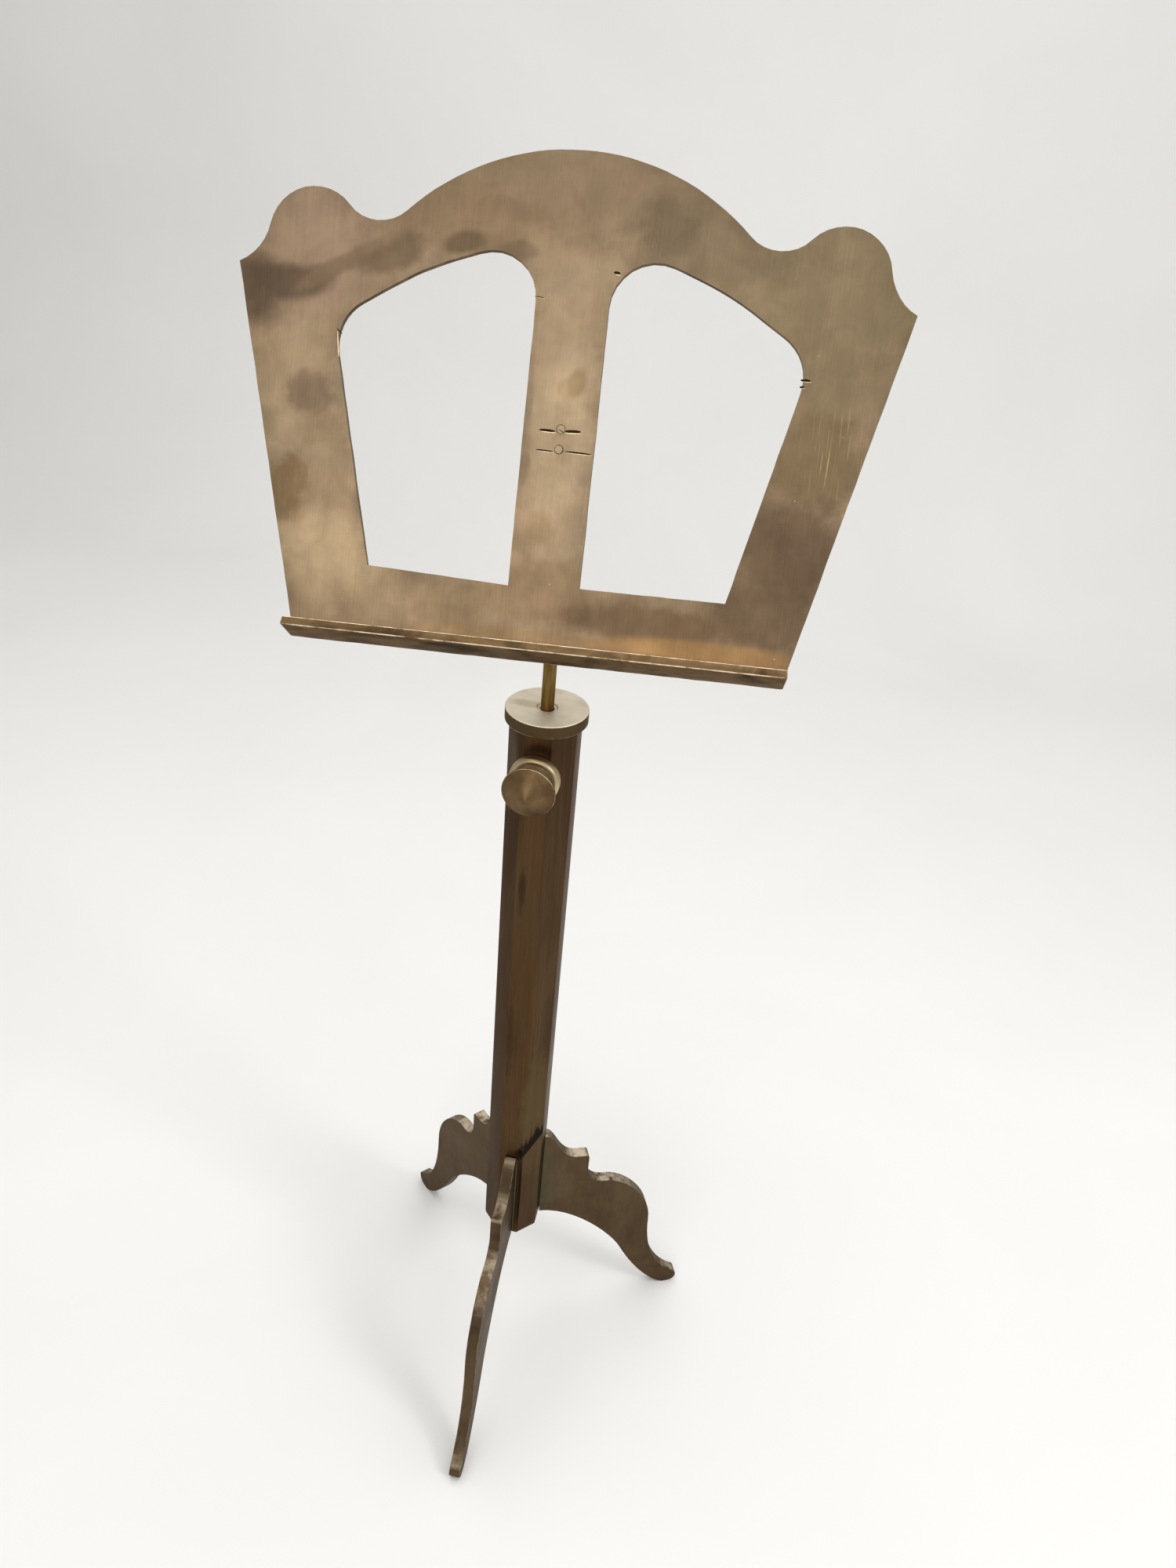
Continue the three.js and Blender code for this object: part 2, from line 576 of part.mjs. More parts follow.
// Rounds the corners of an outline given as [x, y, radius]
function roundedPoints(corners) {
  return corners.flatMap(([x, y, radius], i) => {
    const here = new THREE.Vector2(x, y);
    if (!radius) return [here];
    const [px, py] = corners[(i + corners.length - 1) % corners.length];
    const [nx, ny] = corners[(i + 1) % corners.length];
    const back = new THREE.Vector2(px - x, py - y).normalize();
    const ahead = new THREE.Vector2(nx - x, ny - y).normalize();
    const half = Math.acos(THREE.MathUtils.clamp(back.dot(ahead), -1, 1)) / 2;
    const reach = radius / Math.tan(half);
    const centre = back.clone().add(ahead).normalize().multiplyScalar(radius / Math.sin(half)).add(here);
    const from = back.multiplyScalar(reach).add(here);
    const to = ahead.multiplyScalar(reach).add(here);
    return arcPoints(centre, from, to, 8);
  });
}

// One window: upright inner edge, foot, sloping outer edge and an arched top
function windowPoints(footSkew) {
  const innerFootHalf = BAR_HALF_WIDTH;
  const across = STRUT_WIDTH * Math.hypot(1, SIDE_SLOPE);
  const outerEdge = (height) => CORNER_HALF_WIDTH - across - SIDE_SLOPE * (CORNER_HEIGHT - height);
  return roundedPoints([
    [innerFootHalf, WINDOW_FOOT - footSkew, 0],
    [innerFootHalf, WINDOW_INNER_TOP, WINDOW_INNER_ROUND],
    [WINDOW_MIDDLE_OUT, WINDOW_MIDDLE_HEIGHT, WINDOW_MIDDLE_ROUND],
    [outerEdge(WINDOW_SHOULDER_HEIGHT), WINDOW_SHOULDER_HEIGHT, WINDOW_SHOULDER_ROUND],
    [outerEdge(WINDOW_FOOT), WINDOW_FOOT + footSkew / 2, 0],
  ]);
}

function mirrored(points) {
  return points.map((point) => new THREE.Vector2(-point.x, point.y)).reverse();
}

// Turns an outline drawn in x (right) and y (up) into a plate whose front face is at y = -front
function uprightPlate(shape, thickness, front) {
  const geometry = new THREE.ExtrudeGeometry(shape, { depth: thickness, bevelEnabled: false });
  return geometry.rotateX(Math.PI / 2).translate(0, -front + thickness, 0);
}

// Puts a piece where the plate sits on its bracket, a little shifted and out of level
function onPlate(geometry) {
  return geometry.translate(DESK_SHIFT, 0, 0).rotateY(radians(-DESK_ROLL));
}

function rivetHeights() {
  return { upper: RIVET_SPACING / 2, lower: -RIVET_SPACING / 2 };
}

function rivetHole(height, back) {
  const hole = cylinder(boreRadius(RIVET_RADIUS, SOLDER_GAP), back, PIVOT_BEHIND_FACE + 1);
  return facingFront(hole).translate(0, 0, height);
}

function deskPlate() {
  const half = halfPlatePoints();
  const outline = new THREE.Shape([...half, ...mirrored(half).slice(0, -1)]);
  const plate = onPlate(uprightPlate(outline, PLATE_THICKNESS, PIVOT_BEHIND_FACE));
  const openings = [windowPoints(0), mirrored(windowPoints(LEFT_FOOT_SKEW))].map((points) => {
    const opening = uprightPlate(new THREE.Shape(points), PLATE_THICKNESS + 2, PIVOT_BEHIND_FACE + 1);
    return onPlate(opening.translate(WINDOW_SHIFT, 0, 0));
  });
  const rivets = Object.values(rivetHeights()).map((height) => rivetHole(height, FLANGE_BACK - 1));
  return cut(plate, ...openings, ...rivets);
}

// Bar soldered along the foot of the plate; it slopes up to its front edge
function ledgeBar() {
  const rise = radians(LEDGE_RISE);
  const face = PIVOT_BEHIND_FACE + SOLDER_GAP;
  const lip = new THREE.Vector2(LEDGE_DEPTH * Math.cos(rise), LEDGE_DEPTH * Math.sin(rise));
  const topLip = new THREE.Vector2(
    lip.x - LEDGE_THICKNESS * Math.sin(rise), lip.y + LEDGE_THICKNESS * Math.cos(rise));
  const section = new THREE.Shape([
    new THREE.Vector2(0, 0), lip, topLip,
    new THREE.Vector2(0, topLip.y - topLip.x * Math.tan(rise)),
  ]);
  const bar = new THREE.ExtrudeGeometry(section, { depth: LEDGE_LENGTH, bevelEnabled: false });
  bar.translate(0, 0, -LEDGE_LENGTH / 2).rotateX(Math.PI / 2).rotateZ(-Math.PI / 2);
  return onPlate(bar.translate(0, -face, PLATE_FOOT));
}

// Rivet with its head behind the bracket and its shank filed flush with the plate's face
function rivet(height) {
  const headFront = FLANGE_BACK - SOLDER_GAP;
  const pin = turned([
    [0, headFront - RIVET_HEAD_HEIGHT],
    [RIVET_HEAD_RADIUS * 0.6, headFront - RIVET_HEAD_HEIGHT * 0.85],
    [RIVET_HEAD_RADIUS * 0.9, headFront - RIVET_HEAD_HEIGHT * 0.45],
    [RIVET_HEAD_RADIUS, headFront],
    [RIVET_RADIUS, headFront],
    [RIVET_RADIUS, PIVOT_BEHIND_FACE],
    [0, PIVOT_BEHIND_FACE],
  ], 32);
  return facingFront(pin).translate(0, 0, height);
}

// Side view of a bracket cheek: rounded at the pivot, as tall as the flange at the front
function cheekShape() {
  const halfFlange = BRACKET_FLANGE_HEIGHT / 2;
  const front = new THREE.Vector2(FLANGE_BACK + 1, halfFlange);
  const origin = new THREE.Vector2(0, 0);
  const touch = tangentPoint(front, origin, CHEEK_ROUND);
  const under = new THREE.Vector2(touch.x, -touch.y);
  const back = new THREE.Vector2(-CHEEK_ROUND, 0);
  return new THREE.Shape([
    new THREE.Vector2(front.x, -front.y), front, touch,
    ...arcPoints(origin, touch, back, 8).slice(1),
    ...arcPoints(origin, back, under, 8).slice(1),
  ]);
}

// Bracket: a flange against the plate and two cheeks that straddle the rod's tongue
function deskBracket() {
  const width = 2 * CHEEK_OUTER;
  const flange = new THREE.BoxGeometry(width, BRACKET_FLANGE_THICKNESS, BRACKET_FLANGE_HEIGHT);
  flange.translate(0, -(FLANGE_FRONT + FLANGE_BACK) / 2, 0);
  const cheek = (left) => {
    const plate = new THREE.ExtrudeGeometry(cheekShape(), { depth: CHEEK_THICKNESS, bevelEnabled: false });
    return plate.rotateX(Math.PI / 2).rotateZ(-Math.PI / 2).translate(left + CHEEK_THICKNESS, 0, 0);
  };
  const bolt = facingRight(
    cylinder(boreRadius(PIVOT_BOLT_RADIUS, SOLDER_GAP), -2 * CHEEK_OUTER, 2 * CHEEK_OUTER));
  return cut(
    join(flange, cheek(-CHEEK_OUTER), cheek(CHEEK_INNER)),
    bolt,
    ...Object.values(rivetHeights()).map((height) => rivetHole(height, FLANGE_BACK - 1)),
  );
}

const TILT_WASHER_START = CHEEK_OUTER + SOLDER_GAP;
const TILT_KNOB_START = TILT_WASHER_START + TILT_WASHER_THICKNESS + SOLDER_GAP;

// Bolt through the cheeks and the tongue, its head on the right and the knob on its left end
function pivotBolt() {
  const headFoot = -CHEEK_OUTER - SOLDER_GAP;
  const head = turned([
    [0, headFoot - BOLT_HEAD_HEIGHT],
    [BOLT_HEAD_RADIUS - 0.8, headFoot - BOLT_HEAD_HEIGHT],
    [BOLT_HEAD_RADIUS, headFoot - BOLT_HEAD_HEIGHT + 0.8],
    [BOLT_HEAD_RADIUS, headFoot],
    [PIVOT_BOLT_RADIUS, headFoot],
    [PIVOT_BOLT_RADIUS, TILT_KNOB_START + TILT_BOLT_IN_KNOB],
    [0, TILT_KNOB_START + TILT_BOLT_IN_KNOB],
  ]);
  const slot = new THREE.BoxGeometry(1.2, 3 * BOLT_HEAD_RADIUS, 2);
  slot.translate(0, 0, headFoot - BOLT_HEAD_HEIGHT);
  return facingLeft(cut(head, slot));
}

// Thin ring on the pivot, between these two distances along it
function pivotWasher(radius, thickness, start) {
  const ring = cut(
    cylinder(radius, start, start + thickness),
    cylinder(boreRadius(PIVOT_BOLT_RADIUS, RUNNING_FIT), start - 1, start + thickness + 1),
  );
  return facingRight(ring);
}

function tiltKnob() {
  const knob = conicalKnob({
    neckRadius: TILT_KNOB_NECK_RADIUS, neckLength: TILT_KNOB_NECK_LENGTH, waist: 0.8,
    rimRadius: TILT_KNOB_RIM_RADIUS, rimWidth: TILT_KNOB_RIM_WIDTH,
    coneLength: TILT_KNOB_CONE_LENGTH, tipRadius: 1.5,
    holeRadius: boreRadius(PIVOT_BOLT_RADIUS, RUNNING_FIT),
    holeDepth: TILT_BOLT_IN_KNOB + TIP_ROOM,
  });
  return facingLeft(knob.translate(0, 0, TILT_KNOB_START));
}

// ---------- the assembly ----------

const BRASS = {
  column: [0x6b5535, 0.34], cap: [0xb8a67e, 0.42], leg: [0x7d6747, 0.4], desk: [0xa08a66, 0.45],
  ledge: [0x8a7048, 0.4], knob: [0x7c6240, 0.3], rod: [0x9a7d48, 0.28], hardware: [0xa98d55, 0.35],
  rivet: [0x9b8661, 0.42],
};

function brass(finish) {
  const [color, roughness] = BRASS[finish];
  return new THREE.MeshStandardMaterial({ color, roughness, metalness: 1 });
}

function fibre() {
  return new THREE.MeshStandardMaterial({ color: 0x5a2a1c, roughness: 0.8, metalness: 0 });
}

function nylon() {
  return new THREE.MeshStandardMaterial({ color: 0x23221f, roughness: 0.5, metalness: 0 });
}

function addPiece(group, name, geometry, material) {
  const mesh = new THREE.Mesh(geometry, material);
  mesh.name = name;
  group.add(mesh);
}

function standGroup() {
  const stand = new THREE.Group();
  addPiece(stand, 'column_tube', columnTube(), brass('column'));
  addPiece(stand, 'column_cap', columnCap(), brass('cap'));
  addPiece(stand, 'cap_bush', capBush(), brass('hardware'));
  addPiece(stand, 'guide_block', guideBlock(), brass('hardware'));
  addPiece(stand, 'base_plug', basePlug(), brass('column'));
  addPiece(stand, 'clamp_boss', clampBoss(), brass('knob'));
  for (const [place, degrees] of Object.entries(LEG_ANGLES)) {
    addPiece(stand, `leg_${place}`, leg(degrees), brass('leg'));
  }
  addPiece(stand, 'clamp_pad', clampPad(), brass('hardware'));
  addPiece(stand, 'clamp_screw', clampScrew(), brass('hardware'));
  addPiece(stand, 'clamp_knob', clampKnob(), brass('knob'));
  return stand;
}

function rodGroup() {
  const group = new THREE.Group();
  addPiece(group, 'rod_slider', rodSlider(), nylon());
  addPiece(group, 'rod_end_washer', rodEndWasher(), brass('hardware'));
  addPiece(group, 'rod_end_screw', rodEndScrew(), brass('hardware'));
  const turnedRod = new THREE.Group();
  addPiece(turnedRod, 'rod', rod(), brass('rod'));
  turnedRod.rotation.z = radians(DESK_TURN);
  group.add(turnedRod);
  return group;
}

function deskGroup() {
  const desk = new THREE.Group();
  const ringStart = TONGUE_THICKNESS / 2 + SOLDER_GAP;
  addPiece(desk, 'desk_plate', deskPlate(), brass('desk'));
  addPiece(desk, 'ledge_bar', ledgeBar(), brass('ledge'));
  addPiece(desk, 'desk_bracket', deskBracket(), brass('hardware'));
  for (const [place, height] of Object.entries(rivetHeights())) {
    addPiece(desk, `rivet_${place}`, rivet(height), brass('rivet'));
  }
  addPiece(desk, 'pivot_bolt', pivotBolt(), brass('hardware'));
  const ring = (start) => pivotWasher(FRICTION_WASHER_RADIUS, FRICTION_WASHER_THICKNESS, start);
  addPiece(desk, 'friction_washer_right', ring(ringStart), fibre());
  addPiece(desk, 'friction_washer_left', ring(-ringStart - FRICTION_WASHER_THICKNESS), fibre());
  const tiltWasherStart = -TILT_WASHER_START - TILT_WASHER_THICKNESS;
  addPiece(desk, 'tilt_washer',
    pivotWasher(TILT_WASHER_RADIUS, TILT_WASHER_THICKNESS, tiltWasherStart), brass('hardware'));
  addPiece(desk, 'tilt_knob', tiltKnob(), brass('knob'));
  desk.rotation.x = radians(-DESK_LEAN);
  const swivel = new THREE.Group();
  swivel.add(desk);
  swivel.position.z = ROD_TOP;
  swivel.rotation.z = radians(DESK_TURN);
  return swivel;
}

// The origin is the middle of the whole stand's footprint, on the floor
const musicStand = new THREE.Group();
musicStand.add(standGroup(), rodGroup(), deskGroup());
musicStand.updateMatrixWorld(true);
const middle = new THREE.Box3().setFromObject(musicStand, true).getCenter(new THREE.Vector3());
musicStand.position.set(-middle.x, -middle.y, 0);

export default musicStand;
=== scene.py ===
# %% [markdown]
# # A brass music stand, finished
# The stand is hand made: a sawn brass plate for the desk, a drawn rod, an eight-sided column
# and three thick plate legs soldered to it. The metal was polished once and has been left to
# tarnish since. This lesson takes the bare parts from the frame, gives them the small rounds,
# file marks and solder that a maker leaves, and then builds the brass itself from nodes.

# %% Load the frame
import json
import math

import bmesh
import bpy
from mathutils import Matrix, Vector, bvhtree, kdtree, noise


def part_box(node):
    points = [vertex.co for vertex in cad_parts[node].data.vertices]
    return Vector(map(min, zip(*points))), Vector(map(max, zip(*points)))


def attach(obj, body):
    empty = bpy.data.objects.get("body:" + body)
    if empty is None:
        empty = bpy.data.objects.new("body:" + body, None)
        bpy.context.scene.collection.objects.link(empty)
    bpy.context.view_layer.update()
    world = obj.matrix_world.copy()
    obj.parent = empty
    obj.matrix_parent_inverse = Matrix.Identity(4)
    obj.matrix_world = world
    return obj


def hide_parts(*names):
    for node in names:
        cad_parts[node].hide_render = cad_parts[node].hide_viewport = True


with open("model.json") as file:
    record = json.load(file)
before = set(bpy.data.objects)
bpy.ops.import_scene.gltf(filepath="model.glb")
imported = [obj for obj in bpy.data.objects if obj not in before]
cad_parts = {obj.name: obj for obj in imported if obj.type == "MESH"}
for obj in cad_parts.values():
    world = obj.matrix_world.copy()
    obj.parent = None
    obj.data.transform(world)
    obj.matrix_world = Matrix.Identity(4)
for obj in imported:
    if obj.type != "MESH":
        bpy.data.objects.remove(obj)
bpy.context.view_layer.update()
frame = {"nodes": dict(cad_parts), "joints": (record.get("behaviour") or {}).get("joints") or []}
nodes = frame["nodes"]
joints = {joint["name"]: joint for joint in frame["joints"]}
MM = 0.001
print("parts in the frame:", len(nodes))

# %% [markdown]
# ## Where things are
# Every place used below comes from the frame: the column's upright axis, the clamp's height,
# the pivot of the desk, and a small set of axes that lie in the desk plate. With those axes a
# mark can be placed the way a maker would say it: so far to the right, so far up from the foot.

# %% Clean copies of the bare parts
WELD = 0.002 * MM
FLAT_ENOUGH = math.radians(0.3)  # triangles this nearly level become one face


def welded(node_name):
    bm = bmesh.new()
    bm.from_mesh(nodes[node_name].data)
    bmesh.ops.remove_doubles(bm, verts=bm.verts, dist=WELD)
    bmesh.ops.dissolve_limit(
        bm, angle_limit=FLAT_ENOUGH, use_dissolve_boundaries=False,
        verts=bm.verts, edges=bm.edges, delimit={"NORMAL"})
    return bm


print("points closer than", WELD / MM, "mm are joined")

# %% Landmarks
COLUMN_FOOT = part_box("column_tube")[0].z
CAP_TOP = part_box("column_cap")[1].z
COLUMN_AXIS = Vector((*joints["rod_swivel"]["pos_m"][:2], 0.0))
COLUMN_HALF = 31.2 * MM
CLAMP_AXIS = Vector((COLUMN_AXIS.x, COLUMN_AXIS.y, joints["clamp_turn"]["pos_m"][2]))
PIVOT = Vector(joints["desk_tilt"]["pos_m"])
TILT_AXIS = -Vector(joints["desk_tilt"]["axis"]).normalized()
LEG_HALF_THICKNESS = 6.45 * MM


def plate_axes():
    """Right, out and up of the desk plate, and the middle of its foot on the front face."""
    plate_mesh = welded("desk_plate")
    face = max(plate_mesh.faces, key=lambda f: f.calc_area() if f.normal.y < 0 else 0)
    out = face.normal.copy()
    ledge_mesh = welded("ledge_bar")
    spans = [edge.verts[1].co - edge.verts[0].co for edge in ledge_mesh.edges]
    right = max(spans, key=lambda span: span.length)
    right = (right - out * right.dot(out)).normalized()
    if right.x < 0:
        right = -right
    up = out.cross(right)
    on_face = face.verts[0].co.copy()
    middle = sum((v.co for v in ledge_mesh.verts), Vector()) / len(ledge_mesh.verts)
    middle += out * (on_face - middle).dot(out)
    lowest = min((v.co - middle).dot(up) for v in plate_mesh.verts)
    middle += up * lowest
    plate_mesh.free()
    ledge_mesh.free()
    return right, out, up, middle


PLATE_RIGHT, PLATE_OUT, PLATE_UP, PLATE_FOOT = plate_axes()
# In plate measure x runs right, y runs back through the plate and z runs up it
PLATE_TURN = Matrix((PLATE_RIGHT, -PLATE_OUT, PLATE_UP)).transposed().to_4x4()
PLATE_PLACE = Matrix.Translation(PLATE_FOOT) @ PLATE_TURN
print("plate faces", [round(v, 3) for v in PLATE_OUT])
print("its foot is at, mm", [round(v / MM) for v in PLATE_FOOT])


def on_plate(right, up, back=0.0):
    """A place on the plate in millimetres, as a point of the whole stand in metres."""
    return PLATE_PLACE @ (Vector((right, back, up)) * MM)


# %% [markdown]
# ## Camera, floor and light
# Brass shows its surroundings, so the lights are part of the finish. A wide soft light hangs
# overhead and a second one stands behind the viewer, to lie along the leaning desk. A smaller
# one at the right draws thin bright lines on the turned edges. Floor and backdrop are one
# pale sheet with a round sweep, so that nothing but a soft shadow falls behind the stand.

# %% Camera
camera_data = bpy.data.cameras.new("viewpoint")
camera_data.sensor_fit = "VERTICAL"
camera_data.sensor_height = 36
camera_data.lens = 25.618
camera = bpy.data.objects.new("viewpoint", camera_data)
camera.location = (0.18312, -0.83121, 1.37189)
camera.rotation_euler = [math.radians(a) for a in (57.68, -4.598, 11.613)]
bpy.context.scene.collection.objects.link(camera)
bpy.context.scene.camera = camera
print("camera height, mm:", round(camera.location.z / MM))

# %% Floor with a round sweep
SWEEP_FRONT, SWEEP_BACK, SWEEP_HALF_WIDTH = -3.5, 2.2, 4.0
SWEEP_RADIUS, SWEEP_HEIGHT = 0.9, 3.4


def keep(bm, name, body=None, material=None, stands_for=()):
    """Turns a finished bmesh into an object that rides on its body."""
    mesh = bpy.data.meshes.new(name)
    bm.to_mesh(mesh)
    bm.free()
    piece = bpy.data.objects.new(name, mesh)
    bpy.context.scene.collection.objects.link(piece)
    if material:
        mesh.materials.append(material)
    if body:
        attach(piece, body)
    if stands_for:
        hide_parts(*stands_for)
    return piece


def sweep():
    bm = bmesh.new()
    line = [bm.verts.new((x, SWEEP_FRONT, 0)) for x in (-SWEEP_HALF_WIDTH, SWEEP_HALF_WIDTH)]
    edge = bm.edges.new(line)
    floor = bmesh.ops.extrude_edge_only(bm, edges=[edge])
    back = [g for g in floor["geom"] if isinstance(g, bmesh.types.BMVert)]
    bmesh.ops.translate(bm, verts=back, vec=(0, SWEEP_BACK - SWEEP_FRONT, 0))
    back_edge = [g for g in floor["geom"] if isinstance(g, bmesh.types.BMEdge)]
    bend = bmesh.ops.spin(
        bm, geom=back_edge, cent=(0, SWEEP_BACK, SWEEP_RADIUS), axis=(1, 0, 0),
        angle=math.radians(90), steps=16, use_merge=False)
    wall = bmesh.ops.extrude_edge_only(
        bm, edges=[g for g in bend["geom_last"] if isinstance(g, bmesh.types.BMEdge)])
    bmesh.ops.translate(
        bm, verts=[g for g in wall["geom"] if isinstance(g, bmesh.types.BMVert)],
        vec=(0, 0, SWEEP_HEIGHT))
    for face in bm.faces:
        face.smooth = True
    bmesh.ops.recalc_face_normals(bm, faces=bm.faces)
    return bm


floor = keep(sweep(), "floor_sweep")
print("floor faces:", len(floor.data.polygons))

# %% Lights and the room's own light


def softbox(name, place, aim, width, height, power, colour=(1.0, 1.0, 1.0)):
    data = bpy.data.lights.new(name, "AREA")
    data.shape = "RECTANGLE"
    data.size, data.size_y = width, height
    data.energy = power
    data.color = colour
    light = bpy.data.objects.new(name, data)
    light.location = place
    light.rotation_euler = (Vector(aim) - Vector(place)).to_track_quat("-Z", "Y").to_euler()
    bpy.context.scene.collection.objects.link(light)
    return light


DESK_MIDDLE = (0.0, 0.0, 1.05)
softbox("overhead", (0.0, 0.3, 3.3), (0.0, 0.0, 0.0), 3.6, 3.0, 70)
softbox("front_fill", (-0.3, -3.0, 2.9), DESK_MIDDLE, 2.6, 1.6, 31, (1.0, 0.97, 0.93))
softbox("right_key", (2.3, -0.9, 2.4), (0.0, 0.0, 0.8), 0.7, 1.2, 24, (1.0, 0.98, 0.95))
world = bpy.data.worlds.new("room")
bpy.context.scene.world = world
world.use_nodes = True
world.node_tree.nodes["Background"].inputs["Color"].default_value = (0.62, 0.61, 0.60, 1)
world.node_tree.nodes["Background"].inputs["Strength"].default_value = 0.75
bpy.context.scene.view_settings.view_transform = "Standard"

# %% [markdown]
# ## How the brass is made
# Old brass is one metal with several skins on it. Under everything is a warm colour that
# wanders slowly between tan, pinkish brown and a greenish grey. Brushing or filing lays fine
# lines over it in one direction. Stains, burns and solder sit in definite places. Edges that
# hands have rubbed stay bright. Some light is painted into the colour too: highlights on
# edges and on faces that look up, reflections, and shade on faces turned away or tucked under
# other parts. Each of those is one small function here, and every finish below is a short list
# of calls, so a change to one skin leaves the others alone.

# %% Node helpers


def tone(red, green, blue, share=1.0):
    """A colour as the eye reads it, 0 to 255, turned into the linear value a shader wants."""
    return tuple(((v / 255 + 0.055) / 1.055) ** 2.4 * share for v in (red, green, blue))


class Finish:
    """A material under construction: it keeps the colour, the roughness and the bump so far."""

    def __init__(self, name, metallic=1.0):
        self.material = bpy.data.materials.new(name)
        self.material.use_nodes = True
        self.tree = self.material.node_tree
        self.shader = self.tree.nodes["Principled BSDF"]
        self.shader.inputs["Metallic"].default_value = metallic
        self.shader.inputs["Specular Tint"].default_value = (0.62, 0.60, 0.58, 1.0)
        self.place = self.tree.nodes.new("ShaderNodeTexCoord").outputs["Object"]
        self.colour = None
        self.rough = None
        self.bump = None

    def link(self, source, socket):
        if isinstance(source, bpy.types.NodeSocket):
            self.tree.links.new(source, socket)
        else:
            socket.default_value = source

    def math(self, operation, a, b=0.0, clamp=False):
        step = self.tree.nodes.new("ShaderNodeMath")
        step.operation = operation
        step.use_clamp = clamp
        self.link(a, step.inputs[0])
        self.link(b, step.inputs[1])
        return step.outputs[0]

    def moved(self, location=(0, 0, 0), rotation=(0, 0, 0), scale=(1, 1, 1), kind="TEXTURE",
              source=None):
        """Coordinates measured from another place, turned and scaled."""
        step = self.tree.nodes.new("ShaderNodeMapping")
        step.vector_type = kind
        step.inputs["Location"].default_value = location
        step.inputs["Rotation"].default_value = rotation
        step.inputs["Scale"].default_value = scale
        self.link(source or self.place, step.inputs["Vector"])
        return step.outputs[0]

    def cloud(self, scale, detail=4.0, roughness=0.5, distortion=0.0, stretch=(1, 1, 1),
              source=None):
        """Noise from 0 to 1; stretch above 1 squeezes it along that axis."""
        step = self.tree.nodes.new("ShaderNodeTexNoise")
        step.inputs["Scale"].default_value = scale
        step.inputs["Detail"].default_value = detail
        step.inputs["Roughness"].default_value = roughness
        step.inputs["Distortion"].default_value = distortion
        place = self.moved(scale=stretch, kind="POINT", source=source)
        self.link(place, step.inputs["Vector"])
        return step.outputs[0]

    def between(self, value, low, high, to_low=0.0, to_high=1.0):
        step = self.tree.nodes.new("ShaderNodeMapRange")
        step.interpolation_type = "SMOOTHSTEP"
        self.link(value, step.inputs["Value"])
        limits = {"From Min": low, "From Max": high, "To Min": to_low, "To Max": to_high}
        for socket, number in limits.items():
            step.inputs[socket].default_value = number
        return step.outputs["Result"]

    def blend(self, amount, first, second, kind="MIX"):
        step = self.tree.nodes.new("ShaderNodeMix")
        step.data_type = "RGBA"
        step.blend_type = kind
        self.link(amount, step.inputs["Factor"])
        for socket, colour in (("A", first), ("B", second)):
            target = [s for s in step.inputs if s.name == socket and s.type == "RGBA"][0]
            self.link(colour if isinstance(colour, bpy.types.NodeSocket) else (*colour, 1.0), target)
        return [s for s in step.outputs if s.type == "RGBA"][0]

    def ramp(self, value, stops):
        step = self.tree.nodes.new("ShaderNodeValToRGB")
        band = step.color_ramp
        while len(band.elements) < len(stops):
            band.elements.new(0.5)
        for element, (position, colour) in zip(band.elements, stops):
            element.position = position
            element.color = (*colour, 1.0)
        self.link(value, step.inputs[0])
        return step.outputs["Color"]

    # The skins

    def wander(self, stops, scale, stretch=(1, 1, 1), source=None):
        """The slow wander of the metal's own colour."""
        slow = self.cloud(scale, 5.0, 0.55, 0.6, stretch, source)
        self.colour = self.ramp(slow, stops)

    def brushing(self, stretch, scale, strength, colour_share=0.16, source=None):
        """Fine lines along one direction, in colour and relief."""
        lines = self.cloud(scale, 3.0, 0.7, 0.0, stretch, source)
        self.multiply(self.between(lines, 0.3, 0.7, 1 - colour_share, 1 + colour_share))
        self.add_bump(lines, strength, 0.0002)

    def multiply(self, value):
        """Makes the colour lighter or darker by a number that varies from place to place."""
        grey = self.tree.nodes.new("ShaderNodeCombineColor")
        for socket in grey.inputs:
            self.link(value, socket)
        self.colour = self.blend(1.0, self.colour, grey.outputs[0], "MULTIPLY")

    def nearness(self, centre, size, rotation=(0, 0, 0), source=None, strength=1.0, ragged=0.0):
        """How near a place is to a centre: the strength inside, falling to nothing at the size."""
        near = self.moved(centre, rotation, size, "TEXTURE", source)
        length = self.tree.nodes.new("ShaderNodeVectorMath")
        length.operation = "LENGTH"
        self.link(near, length.inputs[0])
        reach = length.outputs["Value"]
        if ragged:
            torn = self.math("MULTIPLY", self.cloud(38.0, 4.0, 0.6), ragged * 2)
            reach = self.math("ADD", reach, torn)
        return self.between(reach, 0.45 + ragged, 1.0 + ragged, strength, 0.0)

    def stain(self, colour, centre, size, strength, ragged=0.35, rotation=(0, 0, 0), source=None):
        """A soft patch in one place. Noise tears its edge, so it looks poured, not stamped."""
        amount = self.nearness(centre, size, rotation, source, strength, ragged)
        self.colour = self.blend(amount, self.colour, colour)

    def add_bump(self, height, strength, distance):
        step = self.tree.nodes.new("ShaderNodeBump")
        step.inputs["Strength"].default_value = strength
        step.inputs["Distance"].default_value = distance
        self.link(height, step.inputs["Height"])
        if self.bump:
            self.link(self.bump, step.inputs["Normal"])
        self.bump = step.outputs["Normal"]

    def gloss(self, low, high, scale=24.0, stretch=(1, 1, 1)):
        """Roughness that drifts between a rubbed and a dull value."""
        self.rough = self.between(self.cloud(scale, 4.0, 0.6, 0.0, stretch), 0.3, 0.7, low, high)

    def marked(self, layer, colour, share=1.0, patchiness=(0.32, 0.62), scale=55.0):
        """Another colour wherever the mesh carries a value, such as rubbed and painted-highlight edges
        or painted shade.
        """
        mark = self.tree.nodes.new("ShaderNodeAttribute")
        mark.attribute_name = layer
        patchy = self.between(self.cloud(scale, 4.0, 0.65), *patchiness)
        amount = self.math("MULTIPLY", mark.outputs["Fac"], self.math("MULTIPLY", patchy, share), True)
        self.colour = self.blend(amount, self.colour, colour)

